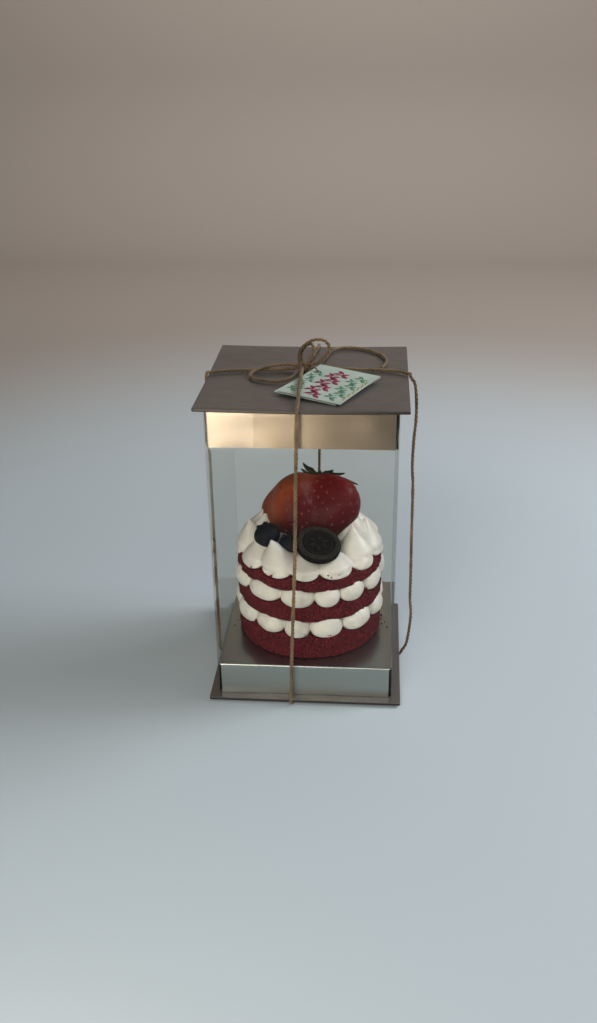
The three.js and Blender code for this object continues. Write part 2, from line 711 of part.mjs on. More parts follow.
// The strands under the base, pressed flat where the box stands on them, hooked about each other
// in the middle.
function twineUnder() {
  const end = EDGE + 0.15;
  const height = TWINE_PRESSED - GLUE_LINE;
  const ends = [[UNDER_FRONT, -end], [UNDER_BACK, end], [-end, UNDER_LEFT], [end, UNDER_RIGHT]];
  const strips = ends.map(([x, y]) => {
    const length = Math.hypot(x, y) + TWINE_PRESSED_WIDTH / 2;
    return solidOf(
      new THREE.BoxGeometry(length, TWINE_PRESSED_WIDTH, height)
        .translate((length - TWINE_PRESSED_WIDTH) / 2, 0, height / 2)
        .rotateZ(Math.atan2(y, x)),
    );
  });
  return geometryOf(joined(strips));
}

// The parts by name, with what each is made of
const finish = (colour, roughness, metalness, opacity = 1) =>
  new THREE.MeshStandardMaterial({
    color: colour,
    roughness,
    metalness,
    opacity,
    transparent: opacity < 1,
  });
const foilCard = finish(0x8f8b84, 0.35, 0.8);
const mirrorCard = finish(0xc9b9a2, 0.12, 1);
const spongeCrumb = finish(0x641c24, 0.9, 0);
const whippedCream = finish(0xe6e2d8, 0.5, 0);

const whole = new THREE.Group();

function add(name, geometry, material) {
  const mesh = new THREE.Mesh(geometry, material);
  mesh.name = name;
  whole.add(mesh);
}

add("twine_under", twineUnder(), finish(0x8a7446, 0.9, 0));
add("base_board", board(BASE_UNDERSIDE), foilCard);
add("plinth", foldedTray(PLINTH_TOP, PLINTH_HEIGHT), foilCard);
add("sleeve", sleeve(), finish(0xeef2f2, 0.05, 0, 0.2));
add("lid_skirt", foldedTray(LID_UNDERSIDE, SKIRT_HEIGHT), mirrorCard);
add("lid_board", board(LID_UNDERSIDE), foilCard);
const layers = [
  ["sponge_bottom", sponge, PLINTH_TOP, SPONGE_BOTTOM_TOP, LOWER_JOINTS, spongeCrumb],
  ["cream_lower", creamLayer, SPONGE_BOTTOM_TOP, CREAM_LOWER_TOP, LOWER_JOINTS, whippedCream],
  ["sponge_middle", sponge, CREAM_LOWER_TOP, SPONGE_MIDDLE_TOP, UPPER_JOINTS, spongeCrumb],
  ["cream_upper", creamLayer, SPONGE_MIDDLE_TOP, CREAM_UPPER_TOP, UPPER_JOINTS, whippedCream],
  ["sponge_top", sponge, CREAM_UPPER_TOP, SPONGE_TOP_TOP, TOP_JOINTS, spongeCrumb],
];
for (const [name, shape, below, top, joints, material] of layers) {
  add(name, shape(below + LAYER_GAP, top, joints), material);
}
add("cream_top", creamTop(), whippedCream);
add("strawberry", strawberry(0), finish(0x8c1520, 0.35, 0));
add("strawberry_calyx", calyx(), finish(0x3b4a2c, 0.7, 0));
for (const berry of BLUEBERRIES) {
  add(berry.name, blueberry(berry, 0), finish(0x1d2130, 0.5, 0));
}
add("biscuit", biscuit(0), finish(0x1c1917, 0.7, 0));
add("tag", tag(), finish(0xcfe0d3, 0.6, 0));
add("twine", twine(), finish(0x8a7446, 0.9, 0));

export default whole;
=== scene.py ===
"""A mini red velvet layer cake in a clear gift box that is tied with jute twine.

Each sub-assembly is a class that holds its sizes in millimetres, builds its surfaces with numpy in
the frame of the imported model, and dresses them with a finish.
"""

import logging
import math
from dataclasses import dataclass, field
from enum import Enum
from typing import Any, Callable, Sequence

import bpy
import numpy as np
from mathutils import Matrix, Vector

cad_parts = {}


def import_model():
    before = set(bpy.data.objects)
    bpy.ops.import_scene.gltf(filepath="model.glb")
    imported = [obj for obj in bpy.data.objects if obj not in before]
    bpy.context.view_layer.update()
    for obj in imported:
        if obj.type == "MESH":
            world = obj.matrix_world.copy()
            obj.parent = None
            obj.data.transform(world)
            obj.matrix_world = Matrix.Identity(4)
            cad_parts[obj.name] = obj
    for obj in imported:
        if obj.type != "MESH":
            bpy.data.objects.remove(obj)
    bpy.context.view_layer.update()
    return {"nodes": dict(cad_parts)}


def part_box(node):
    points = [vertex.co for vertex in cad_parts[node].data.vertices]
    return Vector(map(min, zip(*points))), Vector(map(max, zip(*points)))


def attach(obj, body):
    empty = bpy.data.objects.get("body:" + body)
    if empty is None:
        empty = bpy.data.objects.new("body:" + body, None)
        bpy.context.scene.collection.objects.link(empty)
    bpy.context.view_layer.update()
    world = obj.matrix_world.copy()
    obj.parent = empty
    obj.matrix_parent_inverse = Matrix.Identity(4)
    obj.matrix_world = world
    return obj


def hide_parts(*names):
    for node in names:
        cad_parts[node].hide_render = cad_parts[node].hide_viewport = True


LOG = logging.getLogger("boxed_cake")
MM = 0.001
FULL_TURN = 2 * math.pi
BODY = "root"
# The colour sockets of a Mix node, which share their names with its other sockets
MIX_SHARE, MIX_A, MIX_B, MIXED = 0, 6, 7, 2

Array = np.ndarray
Point = tuple[float, float, float]
Tree = bpy.types.NodeTree
Socket = bpy.types.NodeSocket


def linear(hex_colour: str) -> tuple[float, float, float, float]:
    """Turn an sRGB hex colour "#rrggbb" into linear RGBA with an alpha of one."""
    channels = np.array([int(hex_colour[i : i + 2], 16) for i in (1, 3, 5)]) / 255
    low, high = channels / 12.92, ((channels + 0.055) / 1.055) ** 2.4
    return (*np.where(channels <= 0.04045, low, high).tolist(), 1.0)


def noise_field(seed: int, waves: int, reach: float) -> Callable[[Array], Array]:
    """Make a smooth random field over space as a sum of plane waves.

    The value at a point p is the mean of sin(k . p + phase) over a few random directions, with
    wavelengths spread about the reach, times the square root of the number of waves.

    Args:
        seed: The seed of the random directions.
        waves: How many waves are added.
        reach: The middle wavelength, in millimetres.

    Returns:
        A function from points (..., 3) to values of about -1 to 1.
    """
    random = np.random.default_rng(seed)
    ways = random.normal(size=(waves, 3))
    ways /= np.linalg.norm(ways, axis=1, keepdims=True)
    ways *= FULL_TURN / (reach * random.uniform(0.65, 1.5, (waves, 1)))
    phases = random.uniform(0, FULL_TURN, waves)
    return lambda points: np.sin(points @ ways.T + phases).mean(axis=-1) * math.sqrt(waves)


def smooth_step(low: float, high: float, value: Array) -> Array:
    """Rise from 0 at low to 1 at high along the cubic 3t^2 - 2t^3."""
    share = np.clip((value - low) / (high - low), 0, 1)
    return share * share * (3 - 2 * share)


def unit(vectors: Array) -> Array:
    """Scale vectors (..., 3) to length one."""
    return vectors / np.linalg.norm(vectors, axis=-1, keepdims=True)


def even_turn(columns: int) -> Array:
    """Even angles round a full turn, in radians."""
    return np.linspace(0, FULL_TURN, columns, endpoint=False)


def sine_cosine(degrees: float) -> tuple[float, float]:
    """The sine and the cosine of an angle in degrees."""
    return math.sin(math.radians(degrees)), math.cos(math.radians(degrees))


def polar(radii: Array, heights: Array, turn: Array) -> Array:
    """Place radii and heights (rows, columns) at angles round the Z axis, from +X."""
    return np.dstack([radii * np.cos(turn), radii * np.sin(turn), heights + 0 * turn])


def with_poles(rings: Array, start: float, end: float) -> Array:
    """Line up the values of the rings' points, and then those of the two poles."""
    return np.append(rings.reshape(-1), [start, end])


@dataclass
class Shell:
    """A closed surface as points and faces, before it becomes a mesh.

    Attributes:
        points: The points in millimetres, one row each.
        faces: The corners of each face, counterclockwise from outside.
        marks: Values kept with each point for the material to read.
    """

    points: Array
    faces: list[list[int]]
    marks: dict[str, Array] = field(default_factory=dict)

    @classmethod
    def of_rings(cls, rings: Array, start: Array | None = None, end: Array | None = None) -> "Shell":
        """Close a stack of rings, lowest first and counterclockwise from above.

        Args:
            rings: The rings' points, rows by columns by 3.
            start: The pole under the first ring, or None for the ring's own middle.
            end: The pole over the last ring, or None for the ring's own middle.

        Returns:
            The closed shell, the poles last.
        """
        rows, columns, _ = rings.shape
        start = rings[0].mean(axis=0) if start is None else start
        end = rings[-1].mean(axis=0) if end is None else end
        index = np.arange(rows * columns).reshape(rows, columns)
        ahead = np.roll(index, -1, axis=1)
        sides = np.stack([index[:-1], ahead[:-1], ahead[1:], index[1:]], axis=-1).reshape(-1, 4)
        low = np.stack([np.full(columns, rows * columns), ahead[0], index[0]], axis=-1)
        high = np.stack([np.full(columns, rows * columns + 1), index[-1], ahead[-1]], axis=-1)
        points = np.vstack([rings.reshape(-1, 3), start, end])
        return cls(points, [*sides.tolist(), *low.tolist(), *high.tolist()])

    @classmethod
    def joined(cls, shells: Sequence["Shell"]) -> "Shell":
        """Put shells side by side in one, without merging them."""
        starts = np.cumsum([0] + [len(shell.points) for shell in shells]).tolist()
        faces = [[corner + start for corner in face]
                 for shell, start in zip(shells, starts) for face in shell.faces]
        marks = {name: np.concatenate([shell.marks[name] for shell in shells])
                 for name in shells[0].marks}
        return cls(np.vstack([shell.points for shell in shells]), faces, marks)

    def marked(self, **marks: Array | float) -> "Shell":
        """Keep a value with each point under each given name."""
        for name, values in marks.items():
            self.marks[name] = np.broadcast_to(values, len(self.points)).astype(np.float32)
        return self

    def moved(self, axes: Array, place: Sequence[float]) -> "Shell":
        """Carry the points from axes that are given as rows, and then to a place."""
        self.points = self.points @ axes + np.array(place)
        return self

    def mesh(self, name: str, crease: float) -> bpy.types.Mesh:
        """Turn the shell into a mesh in metres, shaded smooth but for creases over the angle."""
        mesh = bpy.data.meshes.new(name)
        mesh.from_pydata((self.points * MM).tolist(), [], self.faces)
        for mark, values in self.marks.items():
            mesh.attributes.new(mark, "FLOAT", "POINT").data.foreach_set("value", values)
        mesh.shade_smooth()
        if crease < 180:
            mesh.set_sharp_from_angle(angle=math.radians(crease))
        return mesh


def add_node(tree: Tree, kind: str, inputs: dict[str | int, Any] | None = None,
             **settings: Any) -> bpy.types.Node:
    """Add one shader node with its settings and its inputs.

    Args:
        tree: The node tree to add to.
        kind: Blender's name for the node type, without "ShaderNode".
        inputs: For each input's name or index, a value, or a socket to link from.
        settings: Properties of the node.

    Returns:
        The new node.
    """
    node = tree.nodes.new("ShaderNode" + kind)
    for name, value in settings.items():
        setattr(node, name, value)
    for name, value in (inputs or {}).items():
        if isinstance(value, Socket):
            tree.links.new(value, node.inputs[name])
        else:
            node.inputs[name].default_value = value
    return node


def ramp(tree: Tree, source: Socket, places: Sequence[float], colours: Sequence[str]) -> Socket:
    """Turn a value into a colour that runs through sRGB hex colours at the given places."""
    node = add_node(tree, "ValToRGB", {0: source})
    elements = node.color_ramp.elements
    while len(elements) < len(places):
        elements.new(0.5)
    for element, place, colour in zip(elements, places, colours):
        element.position, element.color = place, linear(colour)
    return node.outputs["Color"]


def pattern(tree: Tree, grain: float, stretch: Point = (1, 1, 1), detail: float = 3) -> Socket:
    """Add a noise over the object's own space.

    Args:
        tree: The node tree to add to.
        grain: The size of one grain, in millimetres.
        stretch: How often the pattern repeats along each axis, against the others.
        detail: The octaves of finer noise.

    Returns:
        The noise value's socket.
    """
    place = add_node(tree, "TexCoord").outputs["Object"]
    mapping = add_node(tree, "Mapping", {"Vector": place, "Scale": stretch}).outputs[0]
    inputs = {"Vector": mapping, "Scale": 1 / (grain * MM), "Detail": detail}
    return add_node(tree, "TexNoise", inputs).outputs["Fac"]


def bump(tree: Tree, height: Socket, depth: float, under: Socket | None = None) -> Socket:
    """Add a bump of the given depth in millimetres, on top of another normal if one is given."""
    inputs: dict[str, Any] = {"Height": height, "Distance": depth * MM, "Strength": 1.0}
    if under is not None:
        inputs["Normal"] = under
    return add_node(tree, "Bump", inputs).outputs["Normal"]


def mark(tree: Tree, name: str) -> Socket:
    """Read a value that the mesh keeps with its points."""
    return add_node(tree, "Attribute", attribute_name=name).outputs["Fac"]


def combined(tree: Tree, operation: str, first: Any, second: Any) -> Socket:
    """Add, multiply or otherwise combine two values."""
    return add_node(tree, "Math", {0: first, 1: second}, operation=operation).outputs[0]


def mixed(tree: Tree, share: Socket, low: Any, high: Any, blend: str = "MIX") -> Socket:
    """Mix two colours, each a socket or an sRGB hex colour, by a share."""
    low, high = (linear(colour) if isinstance(colour, str) else colour for colour in (low, high))
    inputs = {MIX_SHARE: share, MIX_A: low, MIX_B: high}
    return add_node(tree, "Mix", inputs, data_type="RGBA", blend_type=blend).outputs[MIXED]


def remapped(tree: Tree, value: Socket, span: Sequence[float], to: Sequence[float] = (0, 1),
             **settings: Any) -> Socket:
    """Carry a value from one span to another."""
    inputs = {"Value": value, "From Min": span[0], "From Max": span[1], "To Min": to[0], "To Max": to[1]}
    return add_node(tree, "MapRange", inputs, **settings).outputs[0]


@dataclass(frozen=True)
class Finish:
    """A surface finish: builds one node material and names the record's slot.

    Attributes:
        name: The finish in a maker's words.
        slot: The material slot in the record; not used.
    """

    name: str
    slot: str
    # The angle over which an edge is shaded sharp, in degrees
    crease = 180.0

    def look(self, tree: Tree) -> dict[str, Any]:
        """Give the inputs of the Principled shader, wired in the tree."""
        raise NotImplementedError

    def shader(self, tree: Tree) -> Socket:
        """Build the shader in the tree and return its output socket."""
        return add_node(tree, "BsdfPrincipled", self.look(tree)).outputs[0]

    def material(self) -> bpy.types.Material:
        """Return the finish's material, made on its first use."""
        made = bpy.data.materials.get(self.name)
        if made is None:
            made = bpy.data.materials.new(self.name)
            made.use_nodes = True
            made.node_tree.nodes.clear()
            add_node(made.node_tree, "OutputMaterial", {"Surface": self.shader(made.node_tree)})
        return made

    def coat(self, name: str, node: bpy.types.Object) -> None:
        """Dress a CAD node as it is."""
        node.data.materials.clear()
        node.data.materials.append(self.material())
        LOG.info("%s dressed", name)

    def dress(self, name: str, shell: Shell, *nodes: str) -> bpy.types.Object:
        """Make a piece of a shell, dress it and let it stand for the named CAD nodes.

        Args:
            name: The piece's name.
            shell: The surface.
            nodes: The CAD nodes that the piece replaces.

        Returns:
            The finished piece.
        """
        piece = bpy.data.objects.new(name, shell.mesh(name, self.crease))
        bpy.context.scene.collection.objects.link(piece)
        piece.data.materials.append(self.material())
        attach(piece, BODY)
        if nodes:
            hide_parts(*nodes)
        LOG.info("%s: %d points", name, len(shell.points))
        return piece


# Finishes of the box


@dataclass(frozen=True)
class LaminatedBoard(Finish):
    """Grey board under a satin metallised laminate: soft broad sheen and faint rub marks.

    Attributes:
        colour: The laminate's colour.
        shade: Its darker clouds.
        core_and_edge_shade: The board where it is cut: partly its dark inside, partly painted shade along
            the edges.
        roughness: Its middle roughness.
        metallic: How metallic the laminate is.
    """

    colour: str = "#77726e"
    shade: str = "#6c6864"
    # Dark colour of the cut edges: partly the board's inside, partly painted shade on the edges.
    core_and_edge_shade: str = "#35312e"
    roughness: float = 0.4
    metallic: float = 0.7
    crease = 32.0

    def look(self, tree: Tree) -> dict[str, Any]:
        """Cloud the colour and the gloss, and dimple the laminate finely."""
        face = ramp(tree, pattern(tree, 22), (0.3, 0.75), (self.shade, self.colour))
        rubs = pattern(tree, 9, (1, 1.6, 1), 5)
        fibre = bump(tree, pattern(tree, 0.35), 0.006)
        return {
            "Base Color": mixed(tree, mark(tree, "cut"), face, self.core_and_edge_shade),
            "Metallic": self.metallic,
            "Roughness": remapped(tree, rubs, (0.35, 0.75),
                                  (self.roughness - 0.04, self.roughness + 0.05)),
            "Normal": bump(tree, pattern(tree, 30, detail=1), 0.12, fibre),
        }


@dataclass(frozen=True)
class FoilCard(Finish):
    """Card faced with silver foil: an even mirror, dark where it is cut: partly the card's inside, partly
    painted shade in the corner slits.
    """

    # The default colour is the hanging skirt's mirror: darker and browner than the plinth's foil, as
    # painted shade in what it reflects.
    colour: str = "#80756a"
    roughness: float = 0.28
    core_and_edge_shade: str = "#2b2724"
    crease = 32.0

    def look(self, tree: Tree) -> dict[str, Any]:
        """Face the card with the mirror, and darken it where it is cut, partly for the card's inside and
        partly as painted shade.
        """
        colour = mixed(tree, mark(tree, "cut"), self.colour, self.core_and_edge_shade)
        return {"Base Color": colour, "Metallic": 1.0, "Roughness": self.roughness}


@dataclass(frozen=True)
class ClearFilm(Finish):
    """Clear rigid film: what is behind it shows through a faint grey, under its reflections."""

    tint: str = "#f9f9f7"
    ior: float = 1.23
    roughness: float = 0.05

    def shader(self, tree: Tree) -> Socket:
        """Mix a clear pass and a mirror by Fresnel, once for each wall of the film."""
        waves = bump(tree, pattern(tree, 28, (1, 1, 0.5), 0), 0.2)
        fresnel = add_node(tree, "Fresnel", {"IOR": self.ior}).outputs[0]
        behind = add_node(tree, "NewGeometry").outputs["Backfacing"]
        share = combined(tree, "MULTIPLY", fresnel, remapped(tree, behind, (0, 1), (1, 0)))
        clear = add_node(tree, "BsdfTransparent", {"Color": linear(self.tint)}).outputs[0]
        gloss = {"Roughness": self.roughness, "Normal": waves}
        mirror = add_node(tree, "BsdfGlossy", gloss).outputs[0]
        return add_node(tree, "MixShader", {0: share, 1: clear, 2: mirror}).outputs[0]


@dataclass(frozen=True)
class JuteTwine(Finish):
    """Plied jute: dull straw-brown fibres along each ply, with painted shade in the grooves between plies,
    a little fuzzy.
    """

    colours: tuple[str, ...] = ("#362a1b", "#6b563a", "#8e7650")
    fibre: float = 0.16

    def look(self, tree: Tree) -> dict[str, Any]:
        """Draw the fibres from the distances along and around a ply that the mesh carries, and paint shade
        into the grooves by the crown mark.
        """
        place = add_node(tree, "CombineXYZ", {"X": mark(tree, "along"), "Y": mark(tree, "around")})
        fibres = add_node(tree, "Mapping", {"Vector": place.outputs[0],
                          "Scale": (0.35, 1 / self.fibre, 1)}).outputs[0]
        grain = add_node(tree, "TexNoise", {"Vector": fibres, "Scale": 1.0, "Detail": 3.0}).outputs["Fac"]
        level = remapped(tree, combined(tree, "ADD", grain, pattern(tree, 9)), (0.6, 1.4))
        # The crown mark is low in the grooves between plies: multiplying by it paints shade there.
        shaded = combined(tree, "MULTIPLY", level, mark(tree, "crown"))
        return {"Base Color": ramp(tree, shaded, (0.08, 0.42, 0.8), self.colours),
                "Roughness": 0.8, "Sheen Weight": 0.15, "Normal": bump(tree, grain, 0.12)}


@dataclass(frozen=True)
class TagCard(Finish):
    """Smooth uncoated card, white with a breath of mint: matt, with a fine paper tooth."""

    colours: tuple[str, ...] = ("#99a598", "#a5b1a4")

    def look(self, tree: Tree) -> dict[str, Any]:
        """Fade the tint over the card and raise a fine tooth."""
        return {"Base Color": ramp(tree, pattern(tree, 16), (0.35, 0.7), self.colours),
                "Roughness": 0.65, "Normal": bump(tree, pattern(tree, 0.3), 0.01)}


@dataclass(frozen=True)
class PrintedInk(Finish):
    """Ink on the tag: an even colour with the card's tooth just showing through."""

    colour: str = "#7d2443"
    pale: str = "#b9aeb0"

    def look(self, tree: Tree) -> dict[str, Any]:
        """Lighten the ink a little where the tooth of the card stands up."""
        colour = mixed(tree, pattern(tree, 0.4), self.colour, self.pale, "SOFT_LIGHT")
        return {"Base Color": colour, "Roughness": 0.5}


@dataclass(frozen=True)
class MattPaper(Finish):
    """The studio's paper: pale on the floor, and the wall's colour farther off, a warmer grey darkened as
    painted shade where less light reaches.

    Attributes:
        floor: The colour near the object.
        wall: The colour far from it, darkened as painted shade.
        fade: The distances between which one turns into the other.
    """

    floor: str = "#b1bcc0"
    # The far colour: a warmer grey, darkened as painted shade for the light falling off.
    wall: str = "#968f88"
    fade: tuple[float, float] = (270, 700)

    def look(self, tree: Tree) -> dict[str, Any]:
        """Fade the colour with the distance into the darker far colour, which is partly painted shade, and
        raise a fine tooth.
        """
        place = add_node(tree, "TexCoord").outputs["Object"]
        reach = add_node(tree, "VectorMath", {0: place}, operation="LENGTH").outputs["Value"]
        share = remapped(tree, reach, (self.fade[0] * MM, self.fade[1] * MM),
                         interpolation_type="SMOOTHSTEP")
        return {"Base Color": mixed(tree, share, self.floor, self.wall), "Roughness": 0.7,
                "Normal": bump(tree, pattern(tree, 0.8), 0.01)}


# Finishes of the cake


@dataclass(frozen=True)
class RedVelvetCrumb(Finish):
    """Cut red velvet sponge: a moist maroon crumb with small pores, darkened in them as painted shade."""

    colours: tuple[str, ...] = ("#3a0a10", "#5f171f", "#7c242c")
    grain: float = 1.1
    pore: float = 1.7

    def look(self, tree: Tree) -> dict[str, Any]:
        """Colour the crumb by its grain, paint shade into the pores, and sink them."""
        grain = pattern(tree, self.grain, detail=4)
        place = add_node(tree, "TexCoord").outputs["Object"]
        pores = add_node(tree, "TexVoronoi", {"Vector": place, "Scale": 1 / (self.pore * MM)},
                         feature="DISTANCE_TO_EDGE").outputs["Distance"]
        # Multiplying by the pores darkens the crumb towards the cells' edges: painted shade in the pores.
        crumb = combined(tree, "MULTIPLY", grain, remapped(tree, pores, (0, 0.22)))
        return {
            "Base Color": ramp(tree, crumb, (0.05, 0.38, 0.7), self.colours),
            "Roughness": 0.85, "Specular IOR Level": 0.2,
            "Subsurface Weight": 0.08, "Subsurface Radius": (1.0, 0.25, 0.2),
            "Subsurface Scale": 1.5 * MM, "Normal": bump(tree, crumb, 0.35),
        }


@dataclass(frozen=True)
class WhippedCream(Finish):
    """Whipped cream: off-white and faintly see-through, satin, with the finest bubbles."""

    colours: tuple[str, ...] = ("#d3d0c8", "#e2e0d9")
    roughness: float = 0.42

    def look(self, tree: Tree) -> dict[str, Any]:
        """Warm the cream in patches and dimple it with bubbles."""
        bubbles = bump(tree, pattern(tree, 0.5), 0.03)
        return {
            "Base Color": ramp(tree, pattern(tree, 9), (0.3, 0.7), self.colours),
            "Roughness": self.roughness, "Subsurface Weight": 0.25,
            "Subsurface Radius": (1.0, 0.8, 0.6), "Subsurface Scale": 2.5 * MM,
            "Normal": bump(tree, pattern(tree, 2.6, detail=2), 0.18, bubbles),
        }


@dataclass(frozen=True)
class StrawberrySkin(Finish):
    """Ripe strawberry skin: deep red and wet, brighter round the shoulders under the calyx, with an orange
    patch there that is partly unripe skin and partly painted highlight.
    """

    colours: tuple[str, ...] = ("#42050c", "#5a060e", "#6e070a")
    # Orange on the left shoulder: partly unripe skin, partly painted highlight.
    unripe_and_highlight: str = "#90431f"

    def look(self, tree: Tree) -> dict[str, Any]:
        """Run the colour from tip to shoulder, clouded by a slow noise."""
        cloud = remapped(tree, pattern(tree, 12), (0, 1), (-0.25, 0.25))
        level = combined(tree, "ADD", mark(tree, "along"), cloud)
        red = ramp(tree, level, (0.1, 0.55, 0.98), self.colours)
        return {
            "Base Color": mixed(tree, mark(tree, "blush"), red, self.unripe_and_highlight),
            "Roughness": 0.5, "Specular IOR Level": 0.14, "Subsurface Weight": 0.1,
            "Subsurface Radius": (1.0, 0.2, 0.15), "Subsurface Scale": 2 * MM,
            "Coat Weight": 0.04, "Coat Roughness": 0.25,
            "Normal": bump(tree, pattern(tree, 1.4), 0.03),
        }


@dataclass(frozen=True)
class Achene(Finish):
    """The strawberry's seeds: small dry shells, straw-coloured to reddish brown."""

    def look(self, tree: Tree) -> dict[str, Any]:
        """Vary the seeds from one to the next."""
        colour = ramp(tree, pattern(tree, 6), (0.35, 0.7), ("#5f2416", "#87502a"))
        return {"Base Color": colour, "Roughness": 0.45}


@dataclass(frozen=True)
class SepalLeaf(Finish):
    """Strawberry leaves: dark olive, paler along the middle vein, browner at the tips."""

    def look(self, tree: Tree) -> dict[str, Any]:
        """Colour the leaf by its length and lighten the vein."""
        blade = ramp(tree, mark(tree, "along"), (0.0, 0.5, 1.0), ("#56632f", "#33421f", "#2c2f1a"))
        return {"Base Color": mixed(tree, mark(tree, "vein"), blade, "#6b7a42"),
                "Roughness": 0.6, "Normal": bump(tree, pattern(tree, 0.7), 0.08)}


@dataclass(frozen=True)
class BlueberrySkin(Finish):
    """Blueberry skin: blue-black under a thin dusty bloom that is rubbed off in places."""

    def look(self, tree: Tree) -> dict[str, Any]:
        """Lay the bloom over the skin in patches and fade it into the crown."""
        bloom = combined(tree, "MULTIPLY", pattern(tree, 4), mark(tree, "crown"))
        colour = ramp(tree, bloom, (0.2, 0.5, 0.8), ("#06070a", "#0c0e15", "#1b1f2c"))
        return {"Base Color": colour, "Roughness": 0.55, "Specular IOR Level": 0.14,
                "Normal": bump(tree, pattern(tree, 0.8), 0.03)}


@dataclass(frozen=True)
class CocoaBiscuit(Finish):
    """Baked cocoa biscuit: nearly black and dry, with a fine sandy crumb."""

    colours: tuple[str, ...] = ("#040303", "#0c0a09", "#1b1714")
    # Lighter colour on the raised relief: painted highlight.
    ridge_highlight: str = "#3a352e"

    def look(self, tree: Tree) -> dict[str, Any]:
        """Speckle the crumb, roughen it, and lighten it where it stands up: a painted highlight on the
        raised relief.
        """
        crumb = pattern(tree, 0.55, detail=4)
        dark = ramp(tree, crumb, (0.3, 0.52, 0.8), self.colours)
        return {"Base Color": mixed(tree, mark(tree, "raised"), dark, self.ridge_highlight),
                "Roughness": 0.75, "Specular IOR Level": 0.1, "Normal": bump(tree, crumb, 0.14)}


# The box


def rounded_square(side: float, corner: float, steps: int) -> Array:
    """Walk round a square with round corners, counterclockwise from above.

    Each corner is a quarter circle about a point that lies one radius inside both edges.

    Args:
        side: The square's side.
        corner: The corners' radius.
        steps: How often each stretch between two points is divided.

    Returns:
        The points (n, 2).
    """
    middles = np.array([[1, -1], [1, 1], [-1, 1], [-1, -1]]) * (side / 2 - corner)
    turns = np.radians(np.arange(4)[:, None] * 90 - 90 + np.linspace(0, 90, 7))
    arcs = middles[:, None, :] + corner * np.stack([np.cos(turns), np.sin(turns)], axis=-1)
    outline = arcs.reshape(-1, 2)
    share = np.arange(steps)[:, None, None] / steps
    ahead = np.roll(outline, -1, axis=0)
    return (outline + share * (ahead - outline)).transpose(1, 0, 2).reshape(-1, 2)


def height_of(node: str) -> list[float]:
    """The heights of a CAD node's underside and top, in millimetres."""
    return [corner.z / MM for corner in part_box(node)]


@dataclass
class BoxBoards:
    """The square boards at the base and on top: laminated board with softened edges.

    Attributes:
        side: The boards' side.
        thickness: The boards' thickness.
        corner: The radius of the corners seen from above.
        edge: How far the pressed edges are rounded.
        curl: How far the lid's corners lift where the twine pulls its middle down.
    """

    side: float = 100
    thickness: float = 1.5
    corner: float = 0.8
    edge: float = 0.3
    curl: float = 0.7
    finish: LaminatedBoard = LaminatedBoard("silver_laminated_greyboard", "board")

    def slab(self, underside: float, curl: float) -> Shell:
        """Build one board on the height of its underside.

        Rings of the square run from the middle of the underside out to the rounded edge and back
        over the top. A curled board lifts by the curl times |xy|^1.5, both as shares of half a side.
        """
        turn = np.radians(np.linspace(-90, 90, 9))
        inset, rise = self.edge * (1 - np.cos(turn)), self.edge * np.sin(turn)
        level = np.where(rise > 0, self.thickness - self.edge, self.edge) + rise
        spans = np.array([0.25, 0.5, 0.75, 0.94])
        shares = np.concatenate([spans, 1 - 2 * inset / self.side, spans[::-1]])
        levels = np.concatenate([0 * spans, level, 0 * spans + self.thickness])[:, None]
        flat = shares[:, None, None] * rounded_square(self.side, self.corner, 4)
        lift = curl * np.abs(flat / (self.side / 2)).prod(axis=-1) ** 1.5
        # The cut mark on the rounded edges: the finish darkens them, partly for the board's inside and
        # partly as painted shade.
        cut = np.concatenate([0 * spans, np.cos(turn) ** 2, 0 * spans])[:, None]
        shell = Shell.of_rings(np.dstack([flat, underside + levels + lift]))
        return shell.marked(cut=with_poles(cut + 0 * lift, 0, 0))

    def build(self) -> None:
        """Build the base board and the lid board."""
        for name, node, curl in (("base_panel", "base_board", 0), ("lid_panel", "lid_board", self.curl)):
            self.finish.dress(name, self.slab(height_of(node)[0], curl), node)


class TraySide(Enum):
    """Which way a folded tray's wall faces, in quarter turns from the front."""

    FRONT = 0
    RIGHT = 1
    BACK = 2
    LEFT = 3


